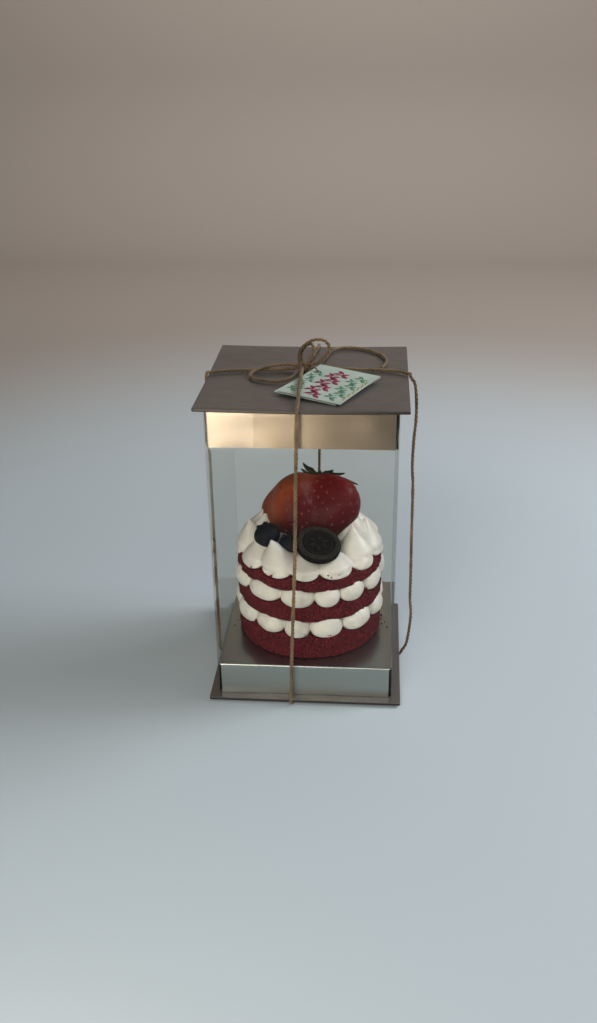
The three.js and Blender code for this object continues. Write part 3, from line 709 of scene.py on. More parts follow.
@dataclass
class FoldedTray:
    """A tray of folded foil card: a panel on top and four walls that hang from its folds.

    Attributes:
        name: The piece's name.
        node: The CAD node that it stands for.
        finish: The foil on the card.
        side: The tray's outside width.
        card: The card's thickness.
        fold: The radius of the fold between the panel and a wall.
        slit: The open corner between two walls.
        bow: How far a wall's middle stands in from its folds.
        ripple: How far the foil ripples in and out.
        lip: How far a wall's lower edge is rounded.
    """

    name: str
    node: str
    finish: FoilCard
    side: float = 90.2
    card: float = 1.0
    fold: float = 0.7
    slit: float = 1.2
    bow: float = 0.25
    ripple: float = 0.1
    lip: float = 0.3

    def wall(self, side: TraySide, top: float, height: float) -> Shell:
        """Build one wall, from the fold down.

        The wall is a thin closed band: its outside runs from the panel round a quarter circle and
        straight down, a rounded edge turns it at the bottom, and its inside runs back up. The
        middle of the band bows inwards by the bow times 1 - across^2, and a slow noise ripples it.

        Args:
            side: Which wall.
            top: The height of the panel's top.
            height: The height of the tray.

        Returns:
            The wall's shell.
        """
        half, inner, foot = self.side / 2, self.side / 2 - self.card, top - height
        turn = np.radians(np.linspace(90, 0, 7))
        drop = np.linspace(0.15, 0.9, 6) * (height - self.fold) + self.fold
        drop = np.append(drop, height - self.lip / 2)
        section_x = np.concatenate([
            half - self.fold + self.fold * np.cos(turn), 0 * drop + half,
            [half - self.lip, inner + self.lip, inner, inner, half - self.fold]])
        section_z = np.concatenate([
            top - self.fold + self.fold * np.sin(turn), top - drop,
            [foot, foot, foot + self.lip, top - self.card, top - self.card]])
        across = np.concatenate([[-1], np.linspace(-0.996, 0.996, 31), [1]])[:, None]
        deep = smooth_step(0, height * 0.4, top - section_z)
        none = 0 * across * section_x
        place = np.dstack([none + across * half, none + section_z, none])
        ripples = self.ripple * noise_field(side.value + 51, 16, 20)(place)
        x = section_x - deep * (self.bow * (1 - across**2) - ripples)
        y = across * (half - self.slit * smooth_step(0, self.fold, top - section_z) - 0.02)
        sin, cos = sine_cosine(90 * side.value - 90)
        rings = np.dstack([x * cos - y * sin, x * sin + y * cos, none + section_z])
        # The walls' ends at the corner slits carry the cut mark and are painted dark: partly the card's
        # inside, partly painted shade in the slits.
        return Shell.of_rings(rings[:, ::-1]).marked(cut=with_poles((np.abs(across) == 1) + none, 1, 1))

    def panel(self, top: float) -> Shell:
        """Build the flat panel between the four folds."""
        shares = np.array([0.5, 1, 1, 0.5])[:, None, None]
        levels = top - self.card * np.array([1, 1, 0, 0])[:, None]
        flat = shares * rounded_square(self.side - 2 * self.fold, 0.3, 3)
        return Shell.of_rings(np.dstack([flat, levels + 0 * flat[..., 0]])).marked(cut=0.0)

    def build(self) -> None:
        """Build the tray in the place of its CAD node."""
        low, high = height_of(self.node)
        walls = [self.wall(side, high, high - low) for side in TraySide]
        self.finish.dress(self.name, Shell.joined([self.panel(high), *walls]), self.node)


# The cake


@dataclass
class CakeRound:
    """What a cake's discs share: their radii, how the cream hangs, and their step round the edge.

    Attributes:
        name: The piece's name.
        node: The CAD node that it stands for.
        joints: Where one cream lobe meets the next, in degrees from the front towards +X.
        sponge_radius: The radius of the sponge discs.
        cream_radius: The radius of the cream's own rim.
        bulge: How far a lobe swells past that rim.
        notch: How far the groove between two lobes lies inside it.
        droop: How far a lobe hangs under the layer's underside.
        rise: How far the underside climbs between two lobes.
        dip: How far the top edge falls between two lobes.
        flat: The radius inside which a layer is level.
        columns: The steps round the edge.
    """

    name: str
    node: str
    joints: tuple[float, ...]
    sponge_radius: float = 38.5
    cream_radius: float = 38.3
    bulge: float = 2.3
    notch: float = 2.6
    droop: float = 1.9
    rise: float = 2.3
    dip: float = 2.8
    flat: float = 33.0
    columns: int = 640

    @property
    def angles(self) -> Array:
        """The angles of the columns, from the front towards +X."""
        return np.arange(self.columns) / self.columns * FULL_TURN

    def lobes(self, angles: Array) -> tuple[Array, Array]:
        """Say which lobe each angle stands on and how high.

        Between two joints the height is the half circle sqrt(1 - u^2), with u from -1 to 1.
        """
        edges = np.array([*self.joints, self.joints[0] + 360.0])
        turn = (np.degrees(angles) - edges[0]) % 360 + edges[0]
        which = np.clip(np.searchsorted(edges, turn, side="right") - 1, 0, len(self.joints) - 1)
        share = (turn - edges[which]) / (edges[which + 1] - edges[which])
        return which, np.sqrt(np.clip(1 - (2 * share - 1) ** 2, 0, 1))

    def underside(self, level: float, lobe: Array) -> Array:
        """The height of the cream's lower edge at the rim."""
        return level + self.rise - (self.rise + self.droop) * lobe

    def rings(self, radii: Array, heights: Array) -> Array:
        """Place rows of radii and heights (rows, columns) round the Z axis."""
        turn = self.angles
        return np.dstack([radii * np.sin(turn), -radii * np.cos(turn), heights])


@dataclass
class Sponge(CakeRound):
    """One disc of red velvet sponge.

    Attributes:
        level: The height of its top, where it is level.
        edge: How far its lower edge is rounded.
        tuck: How far it runs in under the cream.
    """

    level: float = 0
    edge: float = 0.7
    tuck: float = 0.15
    finish: RedVelvetCrumb = RedVelvetCrumb("red_velvet_sponge_crumb", "sponge")

    def shell(self, bottom: float) -> Shell:
        """Build the disc on the height of its underside.

        The side runs from a rounded lower edge up to the cream's lower edge. It is torn by two
        noises: r = radius + 0.28 * n(5 mm) + 0.16 * n(1.8 mm).
        """
        _, lobe = self.lobes(self.angles)
        top = np.minimum(self.underside(self.level, lobe) + self.tuck, self.level + self.rise)
        turn = np.radians(np.linspace(-90, 0, 5))[:, None]
        share = np.linspace(0, 1, 26)[1:, None]
        side_z = bottom + self.edge + share * (top - self.edge - bottom)
        in_r = np.array([self.sponge_radius - 0.9, self.cream_radius - 2.5, self.flat])[:, None]
        none = 0 * top[None]
        radii = np.vstack([
            none + self.flat, self.sponge_radius - self.edge * (1 - np.cos(turn)) + none,
            0 * side_z + self.sponge_radius, in_r + none])
        heights = np.vstack([
            none + bottom, bottom + self.edge * (1 + np.sin(turn)) + none,
            side_z, none + top, none + top, none + self.level])
        points = self.rings(radii, heights)
        seed = len(self.name)
        torn = 0.28 * noise_field(seed, 28, 5)(points) + 0.16 * noise_field(7 + seed, 36, 1.8)(points)
        torn[0], torn[-2:] = 0, 0
        return Shell.of_rings(self.rings(radii + torn, heights + 0.5 * torn))

    def build(self) -> None:
        """Build the disc in the place of its CAD node."""
        self.finish.dress(self.name, self.shell(height_of(self.node)[0]), self.node)


@dataclass
class CreamLayer(CakeRound):
    """A layer of piped cream.

    Attributes:
        bottom: The height of its underside.
        top: The height of its top.
        shoulder: How far in its top begins.
        crest: How far a lobe swells up in front of the sponge that lies on it.
        swell: How far the side swells between two lobes.
        inset: How far the rim's edges stand in.
    """

    bottom: float = 0
    top: float = 0
    shoulder: float = 0.0
    crest: float = 0.0
    swell: float = 0.7
    inset: float = 0.9
    finish: WhippedCream = WhippedCream("whipped_cream", "cream")

    def edges(self, lobe: Array) -> tuple[Array, Array, Array]:
        """The heights of the lower and the upper edge, and the radius of the lower one."""
        high = self.top + self.crest * lobe - self.dip * (1 - lobe)
        base = self.cream_radius - self.inset - self.notch * (1 - lobe)
        return self.underside(self.bottom, lobe), high, base

    def shell(self) -> Shell:
        """Build the layer.

        The side is half a turn of an ellipse between the lower and the upper edge. It starts at
        the rim, and swells by the bulge on a lobe and by a little between two. Each lobe is a
        little larger or smaller than the next, and a slow noise softens it.
        """
        which, lobe = self.lobes(self.angles)
        vary = np.random.default_rng(len(self.name) + len(self.joints)).uniform(-1, 1, (2, 20))
        low, high, base = self.edges(lobe)
        low = low - 0.5 * vary[0][which] * lobe
        turn = np.radians(np.linspace(0, 180, 26))[:, None]
        swell = self.swell + (self.bulge + 0.2 + 0.25 * vary[1][which]) * lobe
        share = (1 - np.cos(turn)) / 2
        inner = 0 * lobe[None] + self.flat
        radii = np.vstack([inner, base + swell * np.sin(turn) - self.shoulder * share,
                           inner - self.shoulder])
        heights = np.vstack([0 * inner + self.bottom, low + (high - low) * share, 0 * inner + self.top])
        points = self.rings(radii, heights)
        soft = 0.3 * noise_field(11, 24, 11)(points) + 0.1 * noise_field(12, 24, 3.5)(points)
        soft[0], soft[-1] = 0, 0
        return Shell.of_rings(self.rings(radii + soft, heights + 0.5 * soft))

    def reach_at(self, angles: Array, heights: Array) -> Array:
        """Say how far out the side stands at some angles and heights: under a lobe, the sponge."""
        lobe = self.lobes(angles)[1]
        low, high, base = self.edges(lobe)
        share = np.clip((heights - low) / (high - low), 0, 1)
        swell = self.swell + (self.bulge + 0.2) * lobe
        side = base - self.shoulder * share + 2 * swell * np.sqrt(share * (1 - share))
        return np.where(heights < low, self.sponge_radius, side)

    def build(self) -> None:
        """Build the layer in the place of its CAD node."""
        self.finish.dress(self.name, self.shell(), self.node)


@dataclass(frozen=True)
class Kiss:
    """A piped kiss: a round blob that narrows to a leaning tip.

    Attributes:
        turn: Where it stands, in degrees from the front towards +X.
        reach: How far it stands from the middle.
        size: Its radius.
        height: Its height.
        lean: How far its tip leans over.
    """

    turn: float
    reach: float
    size: float
    height: float
    lean: tuple[float, float] = (0, 0)

    def shell(self, foot: float) -> Shell:
        """Build the kiss on the height of its foot.

        Its width follows a smooth curve through the outline's heights, and its middle slips over
        by lean * up^1.6. A twist of the nozzle leaves it slightly three-sided towards the tip.
        """
        outline_up = [0.0, 0.14, 0.3, 0.48, 0.68, 0.88, 0.96, 1.0]
        outline_wide = [0.86, 1.0, 0.97, 0.74, 0.43, 0.16, 0.07, 0.02]
        up, spin = np.linspace(0, 1, 40)[:, None], even_turn(48)
        wide = np.interp(up, outline_up, outline_wide)
        wide = np.vstack([wide[:1], (wide[:-2] + 2 * wide[1:-1] + wide[2:]) / 4, wide[-1:]])
        radii = self.size * wide * (1 + 0.04 * up * np.cos(3 * spin + 5 * up + self.turn))
        rings = polar(radii, foot + up * self.height, spin)
        sin, cos = sine_cosine(self.turn)
        rings[..., :2] += np.array([self.reach * sin, -self.reach * cos]) + up[..., None] ** 1.6 * self.lean
        return Shell.of_rings(rings)


@dataclass
class CreamTop:
    """The cream on top: a lobed bed, a ring of kisses, a row behind the berry, and a mound.

    Attributes:
        bed: The lobed layer under everything.
        ring: The kisses round the edge.
        row: The kisses behind the strawberry.
        mound: The radius and height of the mound under the strawberry.
        feet: How high ring, row and mound stand over the bed's top.
        voxel: The step at which the parts are fused.
        softening: How often the fused surface is smoothed.
    """

    bed: CreamLayer
    ring: tuple[Kiss, ...]
    row: tuple[Kiss, ...]
    mound: tuple[float, float] = (24, 9)
    feet: Point = (-4.2, 1.5, -2)
    voxel: float = 0.42
    softening: int = 5

    def heap(self, foot: float) -> Shell:
        """Build the mound as the upper part of an ellipsoid."""
        up = np.linspace(0, 0.99, 24)[:, None]
        radius, height = self.mound
        return Shell.of_rings(polar(radius * np.sqrt(1 - up * up), foot + up * height, even_turn(96)))

    def build(self) -> None:
        """Fuse the parts into one skin, smooth it and put it in the place of its CAD node."""
        ring, row, mound = (self.bed.top + foot for foot in self.feet)
        kisses = [kiss.shell(ring) for kiss in self.ring] + [kiss.shell(row) for kiss in self.row]
        whole = Shell.joined([self.bed.shell(), self.heap(mound), *kisses])
        piece = self.bed.finish.dress(self.bed.name, whole, self.bed.node)
        fuse = piece.modifiers.new("fuse", "REMESH")
        fuse.mode, fuse.voxel_size, fuse.use_smooth_shade = "VOXEL", self.voxel * MM, True
        soften = piece.modifiers.new("soften", "SMOOTH")
        soften.factor, soften.iterations = 0.5, self.softening
        graph = bpy.context.evaluated_depsgraph_get()
        made = bpy.data.meshes.new_from_object(piece.evaluated_get(graph))
        piece.modifiers.clear()
        piece.data = made
        LOG.info("%s: %d faces once fused", piece.name, len(made.polygons))


@dataclass
class Cake:
    """The cake: three sponges, two rings of cream and the cream on top, over the plinth.

    Attributes:
        plinth_top: The height of the plinth's top.
        tops: The tops of the sponges over the plinth, lowest first.
        feet: The undersides of the cream layers over the plinth.
        bed_top: The top of the upper layer's bed over the plinth.
        crest: How far the rings' lobes swell up.
        shoulder: How far in the bed's top begins.
    """

    plinth_top: float
    tops: Point = (14, 32.3, 47.5)
    feet: Point = (14.3, 32.6, 47.8)
    bed_top: float = 52.7
    crest: float = 1.8
    shoulder: float = 3.0

    def layers(self) -> list[CreamLayer]:
        """Set out the cream layers, lowest first."""
        rings = [
            CreamLayer(f"cream_ring_{place}", f"cream_{place}", joints, bottom=self.plinth_top + foot,
                       top=height_of(f"cream_{place}")[1], crest=self.crest)
            for place, joints, foot in zip(("lower", "upper"), JOINTS, self.feet)]
        return [*rings, CreamLayer("cream_kisses", "cream_top", JOINTS[2], shoulder=self.shoulder,
                                   bottom=self.plinth_top + self.feet[2],
                                   top=self.plinth_top + self.bed_top)]

    def build(self) -> list[CreamLayer]:
        """Build the sponges, the rings and the cream on top, and return the cream layers."""
        names = (("sponge_at_the_bottom", "sponge_bottom"), ("sponge_in_the_middle", "sponge_middle"),
                 ("sponge_on_top", "sponge_top"))
        for (name, node), joints, top in zip(names, JOINTS, self.tops):
            Sponge(name, node, joints, level=self.plinth_top + top).build()
        layers = self.layers()
        for ring in layers[:2]:
            ring.build()
        CreamTop(layers[2], KISS_RING, KISS_ROW).build()
        return layers


# The joints between the lobes of the lower, the upper and the top layer of cream
JOINTS = (
    (-45, -18, 4, 32, 62, 89, 117, 146, 171, 199, 229, 256, 286),
    (-54, -21, 8, 29, 54, 80, 109, 135, 164, 190, 219, 246, 275),
    (-39, -11, 12, 42, 69, 99, 127, 155, 185, 214, 243, 266, 291),
)
KISS_RING = (
    Kiss(-26, 28.3, 10.6, 14.5, (-5.6, 1.2)),
    Kiss(0, 28.6, 10.4, 10.5, (0, 2)),
    Kiss(27, 28.3, 11, 10.5, (-1, 2)),
    Kiss(61, 28.8, 9.2, 17.8, (-2.1, 2.6)),
    Kiss(84, 28.6, 10.6, 15.5, (1.5, 5)),
    Kiss(113, 28.4, 10.8, 16, (-2, 0)),
    Kiss(141, 28.4, 10.6, 15, (0, -2)),
    Kiss(170, 28.6, 10.9, 16.5, (1, -1)),
    Kiss(199, 28.4, 10.6, 15, (0, -2)),
    Kiss(228, 28.2, 10.8, 16.5, (1, 0)),
    Kiss(255, 28.4, 10.2, 17, (3, 1)),
    Kiss(279, 28.6, 10.2, 15.5, (-3.5, 1.5)),
    Kiss(-52, 28.4, 10.4, 12.5, (-3, 0)),
)
KISS_ROW = (
    Kiss(88, 22, 9, 17),
    Kiss(126, 20, 9.4, 17),
    Kiss(165, 20, 9.4, 15),
    Kiss(205, 20, 9.4, 16),
    Kiss(240, 21, 9.6, 17),
    Kiss(270, 23.5, 8.6, 12),
)


# The toppings


@dataclass
class Strawberry:
    """A whole strawberry that leans back, with its tip towards the front, and its seeds.

    Attributes:
        centre: The middle of the widest ring.
        length: The length from tip to calyx.
        radius: The radius at the widest ring.
        shoulder: The outline's exponent at the calyx.
        tip: The outline's exponent at the tip.
        pitch: How far the tip points down, in degrees.
        seeds: How many seeds it has.
        pit: The depth and the radius of the pit round a seed.
        hollow: How far the skin sinks under the calyx.
    """

    centre: Point = (1, 7, 89.1)
    length: float = 37
    radius: float = 22
    shoulder: float = 0.33
    tip: float = 0.5
    pitch: float = 40
    seeds: int = 190
    pit: tuple[float, float] = (0.34, 0.95)
    hollow: float = 1.2
    skin: StrawberrySkin = StrawberrySkin("ripe_strawberry_skin", "strawberry")
    shells: Achene = Achene("strawberry_seed_shell", "strawberry")

    @property
    def widest(self) -> float:
        """The place of the widest ring, as a share of the length from the calyx."""
        return self.shoulder / (self.shoulder + self.tip)

    def seated(self, shell: Shell) -> Shell:
        """Carry a shell from the berry's axes, right, up the front and tip to calyx, to the cake."""
        sin, cos = sine_cosine(self.pitch)
        return shell.moved(np.array([[1, 0, 0], [0, sin, -cos], [0, cos, sin]]), self.centre)

    def surface(self, along: Array, angle: Array) -> Array:
        """Place points on the skin, in the berry's own axes.

        The outline x^a (1 - x)^b, one at its widest, is carried round a section that is one plus
        a few cosines and sines of the angle: wide, slightly square and a little lopsided. The
        lower half is fuller, most on the left.

        Args:
            along: The share of the length from the calyx.
            angle: The angle round the axis.

        Returns:
            The points (..., 3).
        """
        outline = (along / self.widest) ** self.shoulder
        outline = outline * ((1 - along) / (1 - self.widest)) ** self.tip
        section = (1 + 0.25 * np.cos(2 * angle) - 0.03 * np.sin(2 * angle)
                   + 0.02 * np.cos(3 * angle) + 0.07 * np.sin(3 * angle)
                   - 0.11 * np.cos(4 * angle) - 0.085 * np.sin(4 * angle))
        low = np.exp(-(((along - 0.7) / 0.16) ** 2))
        reach = self.radius * outline * section * (1 + 0.07 * low * (1 - 0.5 * np.cos(angle)))
        return np.stack([reach * np.cos(angle), reach * np.sin(angle),
                         (self.widest - along) * self.length + 0 * reach], axis=-1)

    def normal(self, along: Array, angle: Array) -> Array:
        """The outward normals, from small steps along and round the surface."""
        step = 1e-3
        down = self.surface(along + step, angle) - self.surface(along - step, angle)
        onward = self.surface(along, angle + step) - self.surface(along, angle - step)
        return unit(np.cross(down, onward))

    def build(self) -> None:
        """Build the skin with its pits, and the seeds in them, spread by the golden angle."""
        number = np.arange(self.seeds)
        places = (0.06 + 0.9 * ((number + 0.5) / self.seeds) ** 0.9,
                  number * math.radians(137.508) % FULL_TURN)
        spots, out = self.surface(*places), self.normal(*places)
        columns, rows = 240, 150
        turn = np.arange(columns) / columns * FULL_TURN
        run = 0.5 + 0.5 * np.cos(math.pi * (np.arange(rows)[:, None] + 0.6) / (rows + 0.2))
        run, turn = run + 0 * turn, turn + 0 * run
        points = self.surface(run, turn)
        flat = points.reshape(-1, 3)
        near = np.full(len(flat), np.inf)
        for spot in spots:
            near = np.minimum(near, np.square(flat - spot).sum(axis=1))
        pits = -self.pit[0] * np.exp(-near / self.pit[1] ** 2)
        swell = 0.35 * noise_field(21, 20, 15)(flat) + 0.05 * noise_field(22, 24, 2.4)(flat)
        raised = points + (pits + swell).reshape(rows, -1, 1) * self.normal(run, turn)
        poles = np.array([[0, 0, (self.widest - 1) * self.length],
                          [0, 0, self.widest * self.length - self.hollow]])
        skin = self.seated(Shell.of_rings(raised, *poles))
        ripeness = with_poles(1 - run, 0, 1)
        side = with_poles(points[..., 0], 0, 0) / self.radius
        front = with_poles(-points[..., 1], 0, 0) / self.radius
        # The orange patch lies near the calyx, to the left and the front: it is partly unripe skin and
        # partly painted highlight.
        blush = smooth_step(0.2, 0.9, ripeness - 0.9 * side - 0.35) * smooth_step(-0.5, 0.3, front)
        self.skin.dress("strawberry_skin", skin.marked(along=ripeness, blush=blush), "strawberry")
        self.shells.dress("strawberry_seeds", self.seed_shells(spots, out))

    def seed_shells(self, spots: Array, out: Array) -> Shell:
        """Lay one small drop-shaped shell in each pit, its point towards the tip."""
        down = np.array([0, 0, -1.0])
        way = unit(down - out * (out @ down)[:, None])
        run = np.linspace(-0.82, 0.82, 4)[:, None]
        wide = 0.42 * np.sqrt(1 - run**2) * (1 - 0.25 * run)
        drop = polar(wide, 0.85 * run, even_turn(6)) * (1, 0.6, 1)
        axes = np.stack([np.cross(out, way), out, way], axis=1)
        return self.seated(Shell.joined([
            Shell.of_rings((middle + drop @ axis)[:, ::-1])
            for middle, axis in zip(spots - 0.22 * out, axes)]))


@dataclass(frozen=True)
class Sepal:
    """One leaf of the calyx.

    Attributes:
        turn: Its heading round the calyx, in degrees.
        length: Its length.
        width: Its width.
        lift: How far its tip rises, or hangs if less than zero.
    """

    turn: float
    length: float
    width: float
    lift: float

    def shell(self) -> Shell:
        """Build the leaf, in the berry's own axes about the calyx.

        It runs out by its length and is 0.5 w sin(pi (0.12 + 0.86 t))^0.8 wide to each side. It
        rises by the lift times t^2, waves with sin(3 pi t), cups up towards its edges, and drifts
        to one side with t^2.
        """
        along, side = np.linspace(0, 1, 30)[:, None], np.linspace(-1, 1, 11)
        across = np.concatenate([side, side[::-1]])
        upper = np.concatenate([0 * side + 1, 0 * side])
        teeth = 1 + 0.07 * np.sin(along * 19 + self.turn) * np.abs(across)
        half = 0.5 * self.width * np.sin(math.pi * (0.12 + 0.86 * along)) ** 0.8 * teeth
        run = 1.2 + along * (self.length - 1.2)
        wave = 0.45 * np.sin(3 * math.pi * along + self.turn)
        rise = 0.9 + self.lift * along**2 + wave * along + 0.45 * across**2
        rise = rise + 0.14 * np.exp(-((across / 0.16) ** 2)) + 0.3 * (along * across) * wave
        rise = rise + upper * 0.4 * (1 - 0.7 * np.abs(across)) * (1 - 0.5 * along)
        aside = across * half + 1.1 * math.sin(3 * self.turn) * along**2
        sin, cos = sine_cosine(self.turn)
        shell = Shell.of_rings(np.dstack([run * cos - aside * sin, run * sin + aside * cos, rise]))
        vein = np.exp(-((across / 0.14) ** 2)) * (1 - 0.6 * along)
        return shell.marked(along=with_poles(along + 0 * vein, 0, 1), vein=with_poles(vein, 0, 0))


@dataclass
class Calyx:
    """The strawberry's leaves round a small woody button with the stump of its stalk.

    Attributes:
        berry: The strawberry that it sits on.
        offset: How far it sits to the right of the berry's axis.
        sepals: Its leaves.
    """

    berry: Strawberry
    offset: float = 4
    sepals: tuple[Sepal, ...] = (
        Sepal(-129, 15, 4.6, 3.0),
        Sepal(-96, 8.5, 4, -0.4),
        Sepal(-60, 13, 4.2, -0.4),
        Sepal(-34, 17, 4, -2.2),
        Sepal(-10, 20.5, 4.2, -4.6),
        Sepal(38, 14, 4.4, 1),
        Sepal(78, 12, 4.2, 1.5),
        Sepal(122, 13, 4.4, 1.8),
        Sepal(166, 13, 4.2, 1.4),
        Sepal(-152, 12, 4, 1.6),
    )
    finish: SepalLeaf = SepalLeaf("strawberry_leaf", "leaf")

    def stump(self) -> Shell:
        """Build the button and the stalk's stump as one turned profile."""
        radii = np.array([2.9, 3.3, 2.9, 2.0, 1.25, 1.1, 1.15, 0.9])[:, None]
        level = np.array([0.4, 1.0, 1.7, 2.1, 2.5, 3.2, 3.9, 4.05])[:, None]
        turn = even_turn(20)
        rings = polar(radii * (1 + 0.06 * np.cos(5 * turn)), level, turn)
        return Shell.of_rings(rings).marked(along=0.0, vein=0.35)

    def build(self) -> None:
        """Build the leaves and the button on the berry's shoulder."""
        whole = Shell.joined([self.stump(), *(sepal.shell() for sepal in self.sepals)])
        whole.moved(np.eye(3), (self.offset, 0, self.berry.widest * self.berry.length))
        self.finish.dress("strawberry_leaves", self.berry.seated(whole), "strawberry_calyx")


@dataclass(frozen=True)
class Blueberry:
    """A blueberry: a squashed ball with a five-pointed crown round a dimple.

    Attributes:
        name: The piece's name.
        node: The CAD node that it stands for.
        centre: Its middle.
        radius: Its radius.
        towards: Where its crown points.
        squash: Its height as a share of its width.
    """

    name: str
    node: str
    centre: Point
    radius: float
    towards: Point
    squash: float = 0.92
    finish: BlueberrySkin = BlueberrySkin("blueberry_skin", "blueberry")

    def build(self) -> None:
        """Build the berry: latitudes of the ball, then the crown's lip and the dimple in it."""
        latitude = np.radians(np.linspace(-88, 60, 60))
        reach = np.append(np.cos(latitude), [0.45, 0.43, 0.44, 0.4, 0.33, 0.28, 0.2, 0.08])[:, None]
        level = np.append(self.squash * np.sin(latitude),
                          [0.84, 0.88, 0.93, 0.94, 0.86, 0.78, 0.74, 0.735])[:, None]
        lip = np.append(0 * latitude, [0.3, 0.7, 1, 1, 0.5, 0.15, 0, 0])[:, None]
        turn = even_turn(90)
        crown = lip * np.cos(5 * turn)
        rings = self.radius * polar(reach * (1 + 0.16 * crown), level + 0.055 * crown, turn)
        rings += 0.12 * noise_field(len(self.name), 18, 7)(rings)[..., None] * rings / self.radius
        aim = Vector((0, 0, 1)).rotation_difference(Vector(self.towards).normalized())
        shell = Shell.of_rings(rings).moved(np.array(aim.to_matrix()).T, self.centre)
        bare = np.clip(1.1 - 1.1 * lip, 0, 1) + 0 * turn
        self.finish.dress(self.name, shell.marked(crown=with_poles(bare, 1, 0)), self.node)


BLUEBERRIES = (
    Blueberry("blueberry_at_the_left", "blueberry_large", (-20.8, -16.2, 82.0), 6.8,
              (-0.45, 0.25, 0.85)),
    Blueberry("blueberry_by_the_biscuit", "blueberry_small", (-8.9, -20.2, 79.2), 5.7,
              (-0.3, 0.1, 0.95)),
)


@dataclass
class Biscuit:
    """The round cocoa biscuit: a fluted rim, a plain ring and a rosette pressed into its face.

    Attributes:
        centre: The middle of the biscuit.
        tilt: How it is tipped, in degrees about X and then about Y.
        radius: Its radius.
        thickness: Its thickness.
        edge: How far its lower edge is rounded.
        flutes: How many ridges run across the rim.
        petals: How many petals the rosette has.
    """

    centre: Point = (6.4, -26, 82.2)
    tilt: tuple[float, float] = (20, 9)
    radius: float = 11.6
    thickness: float = 4.0
    edge: float = 0.9
    flutes: int = 40
    petals: int = 6
    finish: CocoaBiscuit = CocoaBiscuit("baked_cocoa_biscuit", "biscuit")

    def relief(self, reach: Array, turn: Array) -> Array:
        """Say how far the face stands over its sunken field.

        The rim's ridges are a power of a cosine, faded in between two radii. The ring is a bump
        exp(-(r - r0)^2 / w^2), and each petal the same bump about an oval on its own radius.

        Args:
            reach: The distance from the middle.
            turn: The angle about the middle.

        Returns:
            The heights.
        """
        rim = smooth_step(self.radius - 3.4, self.radius - 2.9, reach)
        ridge = np.clip(np.cos(self.flutes * turn), 0, 1) ** 0.7
        fluted = smooth_step(self.radius - 3.0, self.radius - 2.4, reach)
        fluted = fluted * (1 - smooth_step(self.radius - 1.0, self.radius - 0.4, reach))
        ring = np.exp(-(((reach - 7.2) / 0.32) ** 2))
        swing = (turn * self.petals / FULL_TURN) % 1 - 0.5
        aside = swing * FULL_TURN / self.petals * reach
        petal = np.exp(-(((reach - 3.4) / 1.7) ** 4) - (np.abs(aside) / 0.75) ** 3)
        return 0.5 * rim + 0.45 * fluted * ridge + 0.5 * ring + 0.55 * petal

    def build(self) -> None:
        """Build the biscuit from the middle of its underside round its edge to the face."""
        turn, half, field_rows = even_turn(320), self.thickness / 2, 62
        below = np.linspace(1, self.radius - self.edge, 12)
        bend = np.radians(np.linspace(-90, 0, 7))
        side = self.radius - self.edge + self.edge * np.cos(bend)
        rise = -half + self.edge + self.edge * np.sin(bend)
        face = np.linspace(self.radius - 0.5, 0.25, field_rows)
        reach = np.concatenate([below, side, [self.radius, self.radius, self.radius - 0.2], face])
        level = np.concatenate([0 * below - half, rise, [0.2, half - 0.9, half - 0.6],
                                0 * face + half - 0.75])
        reach, level = reach[:, None] + 0 * turn, level[:, None] + 0 * turn
        relief = 0 * level
        relief[-field_rows:] = self.relief(reach[-field_rows:], turn)
        # How much of the painted highlight each point of the raised relief gets.
        raised = np.clip(1.8 * relief - 0.5, 0, 0.8)
        rings = polar(reach, level + relief, turn)
        rough = 0.07 * noise_field(31, 40, 1.1)(rings) + 0.1 * noise_field(32, 24, 5)(rings)
        rings[..., 2] += rough
        rings[..., :2] *= (1 + rough * smooth_step(8, 11, reach) / self.radius)[..., None]
        tip = Matrix.Rotation(math.radians(self.tilt[0]), 3, "X")
        tip = tip @ Matrix.Rotation(math.radians(self.tilt[1]), 3, "Y")
        shell = Shell.of_rings(rings).moved(np.array(tip).T, self.centre)
        self.finish.dress("cocoa_biscuit", shell.marked(raised=with_poles(raised, 0, 0)), "biscuit")


